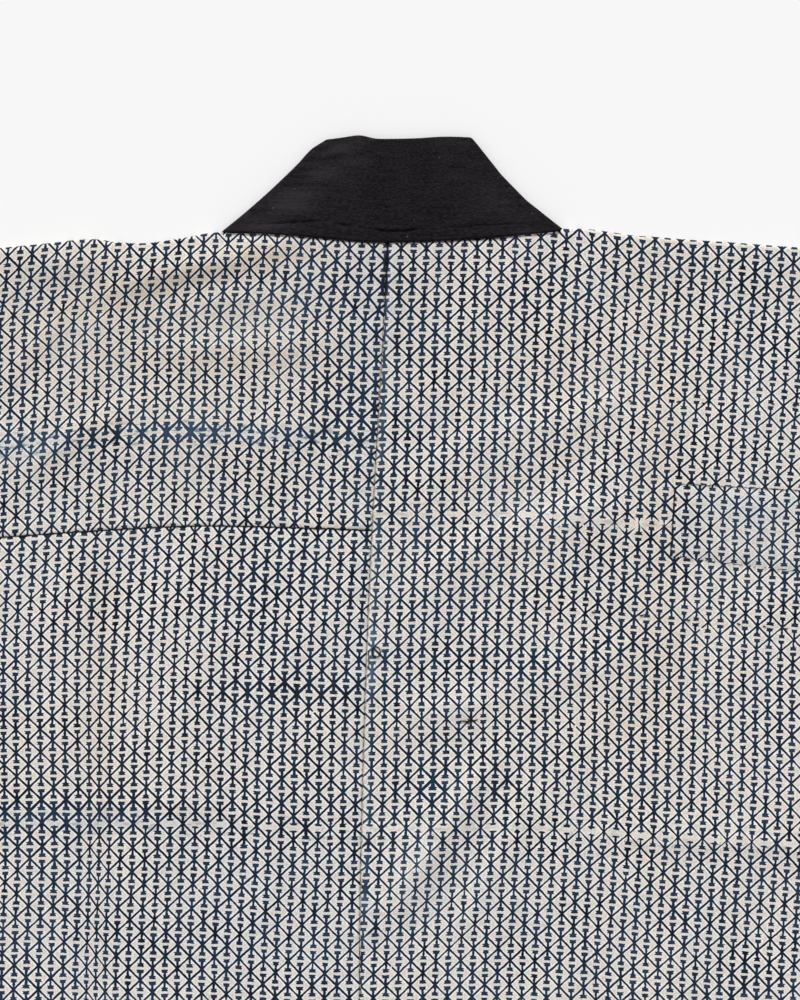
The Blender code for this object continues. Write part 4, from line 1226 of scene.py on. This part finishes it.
def mixed(tree, share, first, second):
    """A colour between two, each a socket or an (r, g, b)."""
    node = tree.nodes.new("ShaderNodeMix")
    node.data_type = "RGBA"
    feed(tree, node.inputs["Factor"], share)
    for key, value in (("A", first), ("B", second)):
        feed(tree, next(s for s in node.inputs if s.name == key and s.type == "RGBA"), value)
    return next(s for s in node.outputs if s.type == "RGBA")


def linear(colour):
    """Linear values of an 8-bit sRGB colour."""
    share = np.array(colour) / 255
    bright = ((share + 0.055) / 1.055) ** 2.4
    return tuple(float(c) for c in np.where(share <= 0.04045, share / 12.92, bright))


def new_group(name, inputs, outputs):
    """A shader node group. Each named socket has its kind, or, if it is a number, its default."""
    group = bpy.data.node_groups.new(name, "ShaderNodeTree")
    for way, sockets in (("INPUT", inputs), ("OUTPUT", outputs)):
        for label, kind in sockets.items():
            number = isinstance(kind, float)
            socket_type = "NodeSocketFloat" if number else f"NodeSocket{kind}"
            made = group.interface.new_socket(label, in_out=way, socket_type=socket_type)
            if number:
                made.default_value = kind
    return group, group.nodes.new("NodeGroupInput"), group.nodes.new("NodeGroupOutput")


def stencil_group():
    """Where the dye lies: slanting lines where U + V or U - V is whole, and in every column of crossings,
    half a repeat apart, a stem whose half width follows COLUMN_CUT. Ink is 1 inside, Edge falls from 1 at
    the ink's edge to 0 some way off, Rim is 1 in the thin ink along its edges, Core rises to 1 in the
    middle of wide ink, Line is 1 on the slanting lines, Motif is a random number for each motif and Wash is
    ink smeared thin beside the stencil's joints. All lengths inside are in mm, and places in repeats."""
    group, enter, leave = new_group(
        "stencil repeat", {"Print": "Vector", "Spread": 0.0, "Joint": 0.0, "Smear": 0.0},
        dict.fromkeys(PATTERN, 0.0),
    )
    place = enter.outputs["Print"]
    u, v = split(group, place)
    sway = noise(group, place, 0.45, 1.0) - 0.5
    sway_down = noise(group, joined(group, v + 31.7, u), 0.5, 1.0) - 0.5
    ragged = noise(group, place, 6.0, 2.0) - 0.5
    ragged_down = noise(group, joined(group, v, u + 9.3), 6.0, 2.0) - 0.5
    u = u + sway * 0.05 + ragged * 0.045
    v = v + sway_down * 0.05 + ragged_down * 0.045

    # The joints between two places of the stencil, where the paste let more dye through
    heavy = Signal(group, enter.outputs["Smear"])
    joint = ((v - Signal(group, enter.outputs["Joint"])) / STENCIL_ROWS + 0.5).fract() - 0.5
    below = joint * STENCIL_ROWS
    from_joint = below.size()
    patchy = noise(group, joined(group, u * 0.45, (v * 0.06).floor()), 1.0, 2.0)
    blotchy = noise(group, joined(group, u * 0.9, v * 0.5), 1.0, 2.0).step(0.42, 0.66)
    blob = from_joint.step(0.45, 0.10) * (blotchy * (heavy * 0.10 + 0.10) + heavy * 0.17)
    spread = Signal(group, enter.outputs["Spread"]) + blob + (noise(group, place, 0.22, 3.0) - 0.5) * 0.46

    def line_half(cut, along):
        """Half width of one slanting line, by its random number and the place along it: it is nicked here
        and there, and slim in the middle of some stretches."""
        nick = cut.step(0.003, 0.002) * (along.fract() - 0.42 - cut * 3.0).size().step(0.07, 0.03)
        slim = cut.step(0.45, 0.90) * (along.fract() - 0.5).size().step(0.34, 0.14)
        return cut * 0.10 + (LINE_HALF - 0.03) - nick * 0.8 - slim * 0.20

    p, q = u + v, u - v
    metric = float(1 / np.hypot(1 / REPEAT_MM[0], 1 / REPEAT_MM[1]))
    half_p = line_half(random_of(group, (p + 0.5).floor(), q.floor()), q)
    half_q = line_half(random_of(group, (q + 0.5).floor() + 57.0, p.floor()), p)
    thin = from_joint.step(0.34, 0.10) * patchy.step(0.56, 0.40) * 0.22
    inside_line = (half_p - p.off_whole() * metric).most(half_q - q.off_whole() * metric) - thin

    column = (u * 2.0 + 0.5).floor()
    odd = (column / 2.0).fract()
    down = v + odd
    motif = random_of(group, column + 11.0, (down + 0.5).floor())
    shape = random_of(group, column - 23.0, (down + 0.5).floor())
    lean = (shape - 0.5) * 0.10
    at = (down + (motif - 0.5) * 0.020 + ragged_down * 0.02).fract()
    ramp = group.nodes.new("ShaderNodeValToRGB")
    feed(group, ramp.inputs["Fac"], at)
    stops = ramp.color_ramp.elements
    for k, (share, _) in enumerate(COLUMN_CUT):
        stop = stops[k] if k < 2 else stops.new(share)
        stop.position = share
    for stop, (_, half) in zip(sorted(stops, key=lambda s: s.position), COLUMN_CUT):
        level = 0.5 + half / CUT_SCALE / 2
        stop.color = (level, level, level, 1.0)
    half = (Signal(group, ramp.outputs["Color"]) - 0.5) * (2 * CUT_SCALE)
    half = half * (shape * 0.20 + 0.86)
    spiky = noise(group, place, 9.0, 1.0) - 0.5
    side = (u * 2.0 - column) + lean * (at - GAP_AT) + spiky * 0.16
    inside_column = half - side.size() * (REPEAT_MM[0] / 2)
    wide = from_joint.step(0.36, 0.28) * (at - GAP_AT).size().step(0.118, 0.100)
    inside_column = inside_column - wide * patchy.step(0.42, 0.56) * (heavy * -2.8 + 4.0)

    inside = inside_line.most(inside_column) + spread
    ink = inside.step(-0.15, 0.15)
    edge = inside.step(-1.10, -0.10)
    rim = inside.step(0.28, 0.06)
    core = inside.step(0.45, 1.30)
    line = (inside_line - inside_column).step(-0.25, 0.30)

    from_dot, picked = cells(group, place, 3.6)
    dot = from_dot.step(0.22, 0.12) * picked.step(0.62, 0.66)
    dot = dot * (below - 0.35).size().step(0.95, 0.35) * patchy.step(0.40, 0.55)
    streak = noise(group, joined(group, u * 1.5, v * 5.0), 1.0, 3.0, 0.6).step(0.52, 0.66)
    smudge = streak * from_joint.step(0.75, 0.20) * (heavy * 0.8 + 0.2)
    wash = (dot * 0.8).most(smudge)
    for label, value in zip(PATTERN, (ink, edge, rim, core, line, motif, wash)):
        feed(group, leave.inputs[label], value)
    return group


def dye_group():
    """Colour of the printed cloth: the ground, tinted, mottled and grained, under indigo whose depth
    wanders. The brown and blue tints also carry painted shade of folds, creases and the place near the
    collar. Shade is painted shade, which darkens all of it, as in a seam's gap."""
    numbers = (*PATTERN, "Brown", "Blue", "Pale", "Shade")
    group, enter, leave = new_group(
        "indigo on cotton", {"Cloth": "Vector", **dict.fromkeys(numbers, 0.0), "Ground": "Color"},
        {"Color": "Color"},
    )
    cloth = enter.outputs["Cloth"]
    x, y = split(group, cloth)
    value = {label: Signal(group, enter.outputs[label]) for label in numbers}
    broad = noise(group, cloth, 22.0, 3.0)
    # Brown and blue: tints of the ground, and painted shade where their blots lie in folds, creases and near
    # the collar
    brown = (value["Brown"] * 0.30 + (broad - 0.5) * 0.22).share()
    ground = mixed(group, brown, enter.outputs["Ground"], linear(BROWN_TINT))
    cool = noise(group, joined(group, x + 3.1, y), 30.0, 2.0)
    upright = noise(group, joined(group, x * 1.6, y * 0.12), 30.0, 2.0)
    blue = (value["Blue"] * 0.20 + (cool - 0.52) * 0.20 + (upright - 0.5) * 0.30).share()
    ground = mixed(group, blue, ground, linear(BLUE_TINT))
    pink = noise(group, joined(group, x + 7.7, y), 190.0, 2.0).step(0.46, 0.70) * 0.55
    ground = mixed(group, pink, ground, linear(PINK_MOTTLE))
    green = noise(group, joined(group, x, y + 5.2), 200.0, 2.0).step(0.46, 0.70) * 0.45
    ground = mixed(group, green, ground, linear(GREEN_MOTTLE))
    ground = mixed(group, value["Edge"].step(0.80, 1.0) * 0.34, ground, linear(BLUE_TINT))
    grain = noise(group, joined(group, x * 0.35, y), 1500.0, 1.0) - 0.5
    grain_up = noise(group, joined(group, x, y * 0.35), 1400.0, 1.0) - 0.5
    slub = noise(group, joined(group, x * 0.06, y), 420.0, 1.0).step(0.62, 0.80)
    light = (grain + grain_up) * 0.46 + 0.885 + value["Edge"] * 0.24 - slub * 0.09
    bright = group.nodes.new("ShaderNodeVectorMath")
    bright.operation = "SCALE"
    feed(group, bright.inputs[0], ground)
    feed(group, bright.inputs["Scale"], light)
    ground = mixed(group, (value["Wash"] * 0.85).least(1.0), bright.outputs[0], linear(INDIGO_PALE))

    depth = noise(group, cloth, 30.0, 3.0, 0.45)
    strong = (depth + (value["Motif"] - 0.5) * 0.12).step(0.34, 0.64)
    ink = mixed(group, strong, linear(INDIGO), linear(INDIGO_DARK))
    teal = noise(group, joined(group, x + 1.9, y), 75.0, 4.0, 0.65).step(0.48, 0.62) * 0.85
    ink = mixed(group, teal, ink, linear(INDIGO_TEAL))
    purple = noise(group, joined(group, x, y + 8.3), 95.0, 4.0, 0.65).step(0.50, 0.64) * 0.50
    ink = mixed(group, purple, ink, linear(INDIGO_PURPLE))
    ink = mixed(group, value["Line"] * 0.50, ink, linear(LINE_INDIGO))
    core = value["Core"] * noise(group, cloth, 45.0, 2.0).step(0.30, 0.65) * 0.70
    ink = mixed(group, core, ink, linear(INDIGO_CORE))
    ink = mixed(group, value["Rim"] * 0.50, ink, linear(INDIGO_RIM))
    ink = mixed(group, (value["Pale"] * -0.9).share(), ink, linear(INDIGO_DULL))
    worn = noise(group, cloth, 900.0, 2.0).step(0.50, 0.75)
    faded = noise(group, joined(group, x, y + 2.6), 11.0, 3.0)
    lift = (value["Pale"] * 0.45 + worn * 0.06 + (faded - 0.53) * 0.6).share()
    ink = mixed(group, lift, ink, linear(INDIGO_PALE))
    colour = mixed(group, value["Ink"], ground, ink)
    # Shade mixes in the dark of painted shade
    feed(group, leave.inputs["Color"], mixed(group, value["Shade"].least(1.0), colour, linear(PAINTED_SHADE_DARK)))
    return group


def weave_group():
    """Height of a plain weave: over and under as the product of two sines, with thick threads here and
    there along both ways."""
    group, enter, leave = new_group(
        "plain weave", {"Cloth": "Vector", "Threads": THREADS_PER_METRE}, {"Height": 0.0}
    )
    x, y = split(group, enter.outputs["Cloth"])
    threads_per_metre = Signal(group, enter.outputs["Threads"])
    over = (x * threads_per_metre * np.pi).sine() * (y * threads_per_metre * np.pi).sine()
    slub = noise(group, joined(group, x * 0.05, y), 700.0, 2.0)
    slub_up = noise(group, joined(group, x, y * 0.05), 700.0, 2.0)
    feed(group, leave.inputs["Height"], over * 0.35 + slub + slub_up * 0.8)
    return group


def uv_map(tree, name):
    """A UV map of the piece."""
    node = tree.nodes.new("ShaderNodeUVMap")
    node.uv_map = name
    return node.outputs[0]


def matt(name, roughness, sheen, specular=0.08):
    """A new matt material, its node tree and its shader."""
    material = bpy.data.materials.new(name)
    material.use_nodes = True
    shader = material.node_tree.nodes["Principled BSDF"]
    shader.inputs["Roughness"].default_value = roughness
    shader.inputs["Specular IOR Level"].default_value = specular
    shader.inputs["Sheen Weight"].default_value = sheen
    shader.inputs["Sheen Roughness"].default_value = 0.6
    return material, material.node_tree, shader


def bumped(tree, shader, height, distance, strength=1.0):
    """A Bump node from a height into the shader's normal."""
    bump = tree.nodes.new("ShaderNodeBump")
    bump.inputs["Distance"].default_value = distance
    bump.inputs["Strength"].default_value = strength
    feed(tree, bump.inputs["Height"], height)
    feed(tree, shader.inputs["Normal"], bump.outputs["Normal"])


def placed(tree, group, values):
    """A group node with its inputs set to numbers or linked to sockets and signals."""
    node = tree.nodes.new("ShaderNodeGroup")
    node.node_tree = group
    for label, value in values.items():
        feed(tree, node.inputs[label], value)
    return node


def attribute_parts(tree, name):
    """The four numbers of a colour attribute."""
    node = tree.nodes.new("ShaderNodeAttribute")
    node.attribute_name = name
    parts = tree.nodes.new("ShaderNodeSeparateColor")
    tree.links.new(node.outputs["Color"], parts.inputs[0])
    return [Signal(tree, parts.outputs[k]) for k in range(3)] + [Signal(tree, node.outputs["Alpha"])]


def printed_cotton(name, ground, layout, spread=0.0, pale=0.0):
    """Printed cotton of one panel: the stencil's groups with the panel's own ground and ink, with its
    rubbing, dust and painted shade.
    """
    material, tree, shader = matt(name, 0.92, 0.06)
    cloth = uv_map(tree, "cloth")
    more_ink, brown, blue_tint, rubbed_and_sheen = attribute_parts(tree, "paint")
    # Painted shade at seams, below the collar and along the mend's edges; ink faded beside the centre seam;
    # dust
    shade, faded, dusty, _ = attribute_parts(tree, "wear_shade_and_sheen")
    pattern = placed(tree, GROUPS["stencil"], {
        "Print": uv_map(tree, "print"), "Spread": more_ink * 0.30 + spread, "Joint": layout.joint,
        "Smear": layout.smear,
    })
    colour = placed(tree, GROUPS["dye"], {
        "Cloth": cloth, **{label: pattern.outputs[label] for label in PATTERN},
        "Brown": brown + dusty, "Blue": blue_tint + faded * 1.5, "Pale": rubbed_and_sheen * 0.7 + faded * 1.6 + pale,
        "Shade": shade, "Ground": linear(ground),
    })
    feed(tree, shader.inputs["Base Color"], colour.outputs["Color"])
    weave = placed(tree, GROUPS["weave"], {"Cloth": cloth})
    crumple = noise(tree, cloth, 160.0, 3.0)
    bumped(tree, shader, Signal(tree, weave.outputs["Height"]) * 0.3 + crumple * 1.4, 0.00040, 0.6)
    return material


def black_crepe(name):
    """Matt black cotton with fine crosswise slubs, a little lighter where they stand up, a painted sheen
    in streaks along the folded edge, and a few specks of lint."""
    material, tree, shader = matt(name, 0.9, 0.0, specular=0.06)
    cloth = uv_map(tree, "cloth")
    x, y = split(tree, cloth)
    rubbed_and_sheen, _, _, _ = attribute_parts(tree, "wear_shade_and_sheen")
    slub = noise(tree, joined(tree, x * 0.30, y), 1000.0, 2.0, 0.6)
    grain = noise(tree, cloth, 1500.0, 2.0, 0.7)
    broad = noise(tree, cloth, 26.0, 2.0)
    long_slub = noise(tree, joined(tree, x * 0.10, y), 420.0, 2.0)
    raised = slub * 0.5 + grain * 0.5
    share = raised.step(0.36, 0.66) * 0.62 + (broad - 0.5) * 0.30 + (long_slub - 0.5) * 0.5
    # A painted sheen in streaks along the folded edge
    share = share + rubbed_and_sheen * noise(tree, joined(tree, x * 0.12, y), 160.0, 3.0).step(0.30, 0.70) * 0.75
    colour = mixed(tree, share.share(), linear(COLLAR_BLACK), linear(COLLAR_SLUB_AND_SHEEN))
    from_speck, picked = cells(tree, cloth, 260.0)
    lint = from_speck.step(0.13, 0.05) * picked.step(0.80, 0.82) * 0.8
    feed(tree, shader.inputs["Base Color"], mixed(tree, lint, colour, linear(LINT)))
    bumped(tree, shader, raised + long_slub * 0.5, 0.00035, 0.8)
    return material


def thread_material(name, colour, other):
    """Twisted cotton thread: a tone that changes in short stretches."""
    material, tree, shader = matt(name, 0.8, 0.1)
    place = tree.nodes.new("ShaderNodeTexCoord").outputs["Object"]
    fibre = noise(tree, place, 3000.0, 1.0)
    tone = noise(tree, place, 90.0, 1.0)
    feed(tree, shader.inputs["Base Color"],
         mixed(tree, fibre * 0.5 + tone * 0.5, linear(colour), linear(other)))
    bumped(tree, shader, fibre, 0.0001)
    return material


def plain_floor(name):
    """Matt pale board with the faintest grain."""
    material, tree, shader = matt(name, 0.95, 0.0, specular=0.0)
    place = tree.nodes.new("ShaderNodeTexCoord").outputs["Object"]
    share = noise(tree, place, 6.0, 2.0) * 0.02
    feed(tree, shader.inputs["Base Color"], mixed(tree, share, linear(FLOOR), FLOOR_GRAIN))
    return material


def sewing():
    """All the runs of stitches that show, each along its own line on the cloth."""
    for colour, tones in THREADS.items():
        thread_material(f"{colour}_thread", *tones)
    y = np.linspace(-0.045, -LENGTH + 0.002, 400)
    seam = np.stack([centre_x(y) + 0.0003, y], axis=-1)
    stitched("centre_seam_stitches", "centre_seam", seam, 1, 1)
    y = np.linspace(-0.036, -LENGTH + 0.004, 400)
    seam = np.stack([centre_x(y) - 0.0003, y], axis=-1)
    stitched("centre_seam_dark_stitches", "centre_seam_dark", seam, -1, 2)
    x = np.linspace(-PANEL_WIDTH + 0.004, -0.012, 200)
    stitched("cross_seam_stitches", "cross_seam", np.stack([x, cross_seam_y(x)], axis=-1), -1, 3)

    top_left, top_right, low_right, low_left = (np.array(corner) for corner in PATCH)
    sides = {
        "top": line_between(top_left + (0.003, 0.0), top_right),
        "left": line_between(top_left - (0.0, 0.003), low_left),
        "bottom": line_between(low_left, low_right),
    }
    for seed, (label, line) in enumerate(sides.items(), start=4):
        stitched(f"patch_{label}_stitches", "patch", line, 1, seed)
    stitched("patch_edge_thread", "patch_edge", line_between(top_left, top_right), 1, 7)
    for k, (start, end) in enumerate(((0, 1), (1, 2), (3, 2), (0, 3)), start=1):
        stitched(f"mend_stitches_{k}", "mend", line_between(MEND[start], MEND[end]), 1, k + 7)
    y = np.linspace(TUCK_TOP - 0.004, TUCK_BOTTOM, 200)
    tuck = np.stack([TUCK_X + TUCK_SWAY * np.sin(y / TUCK_WAVE) + 0.0008, y], axis=-1)
    stitched("tuck_stitches", "tuck", tuck, -1, 12)

    for sign, side in ((-1, "left"), (1, "right")):
        x = sign * np.linspace(0.002, BANDS[sign].neck_x - 0.004, 80)
        neck = np.stack([x, neck_seam_y(x, sign) - 0.0002], axis=-1)
        stitched(f"collar_stitches_{side}", "collar", neck, sign, 20 + sign)
        x = np.linspace(0.004, PANEL_WIDTH - 0.004, 120)
        hem = np.stack([sign * x + centre_x(-LENGTH), np.full_like(x, HEM - LENGTH - 0.001)], axis=-1)
        stitched(f"hem_stitches_{side}", "hem", hem, sign, 30 + sign)
        y = np.linspace(-0.03, -SLEEVE_DEPTH, 100)
        cuff = np.stack([np.full_like(y, sign * (CUFF_X - CUFF_HEM + 0.001)), y], axis=-1)
        stitched(f"cuff_stitches_{side}", "hem", cuff, sign, 40 + sign)


def knots():
    """A loop and a loose end of thread beside the centre seam, and the dark tied knot on the right back."""
    t = np.linspace(0.0, 2 * np.pi, 25)
    ring = np.array(LOOP_MIDDLE) + np.array(LOOP_REACH) * np.stack([np.cos(t), np.sin(t)], axis=1)
    threads("thread_loop", ring[:-1], ring[1:] + (ring[1:] - ring[:-1]) * 0.6, 1, STITCHES["loop"])
    threads("seam_thread_end", LOOSE_THREAD[:1], LOOSE_THREAD[1:], 1, STITCHES["loose"])
    degrees, reach = np.array(KNOT_TAILS, float).T
    angles = np.radians(degrees)
    tips = np.array(KNOT) + reach[:, None] * np.stack([np.cos(angles), np.sin(angles)], axis=1)
    threads("tied_knot", np.repeat([KNOT], len(tips), 0), tips, 1, STITCHES["knot"])


def stage():
    """Floor, even light from all round with a soft sun from the upper left, and the camera overhead."""
    scene = bpy.context.scene
    link = bpy.context.collection.objects.link
    mesh = bpy.data.meshes.new("floor")
    signs = ((-1, -1), (1, -1), (1, 1), (-1, 1))
    corners = [(x * FLOOR_REACH, y * FLOOR_REACH, FLOOR_LEVEL) for x, y in signs]
    mesh.from_pydata(corners, [], [(0, 1, 2, 3)])
    mesh.materials.append(plain_floor("floor"))
    floor = bpy.data.objects.new("floor", mesh)
    link(floor)

    world = bpy.data.worlds.new("studio")
    world.use_nodes = True
    background = world.node_tree.nodes["Background"]
    background.inputs["Color"].default_value = (1.0, 1.0, 1.0, 1.0)
    background.inputs["Strength"].default_value = ROOM_LIGHT
    scene.world = world

    light = bpy.data.lights.new("key", "SUN")
    light.energy = SUN_LIGHT
    light.angle = np.radians(SUN_SOFTNESS)
    key = bpy.data.objects.new("key", light)
    key.rotation_euler = (np.radians(SUN_TILT), 0.0, np.radians(SUN_TURN))
    link(key)

    lens = bpy.data.cameras.new("camera")
    lens.lens = LENS
    lens.sensor_width = SENSOR
    height = IMAGE[1] * PIXEL
    middle_x = (IMAGE[0] / 2 - NECK_PIXEL[0]) * PIXEL
    middle_y = NECK_Y - (IMAGE[1] / 2 - NECK_PIXEL[1]) * PIXEL
    camera = bpy.data.objects.new("camera", lens)
    camera.location = (middle_x, middle_y, BACK_Z + height * LENS / SENSOR)
    link(camera)
    scene.camera = camera
    scene.view_settings.view_transform = "Standard"
    scene.view_settings.look = "None"


GROUPS = {"stencil": stencil_group(), "dye": dye_group(), "weave": weave_group()}


def main():
    """All the materials, then the pieces of cloth, the sewing and the stage."""
    right = printed_cotton("right_cotton", PLAIN_GROUND, PRINT_RIGHT, spread=0.105)
    upper_left = printed_cotton("upper_left_cotton", WARM_GROUND, PRINT_UPPER_LEFT, spread=0.11)
    lower_left = printed_cotton("lower_left_cotton", COOL_GROUND, PRINT_LOWER_LEFT, spread=0.13, pale=-0.05)
    mend = printed_cotton("patch_cotton", PATCH_GROUND, PRINT_PATCH, spread=0.04)
    crepe = black_crepe("collar_crepe")

    body_panel("body_left_cloth", -1, cross_seam_y, UPPER_LENGTH, PRINT_UPPER_LEFT, upper_left, "body_left")
    lower_back("back_left_lower_cloth", -1, PRINT_LOWER_LEFT, lower_left, "back_left_lower")
    body_panel("body_right_cloth", 1, hem_y, LENGTH, PRINT_RIGHT, right, "body_right")
    sleeve("sleeve_left_cloth", -1, PRINT_UPPER_LEFT, upper_left, "sleeve_left")
    sleeve("sleeve_right_cloth", 1, PRINT_RIGHT, right, "sleeve_right")
    collar("collar_band", crepe, "collar")
    patch("patch_cloth", mend, "patch_right")
    sewing()
    knots()
    stage()


main()
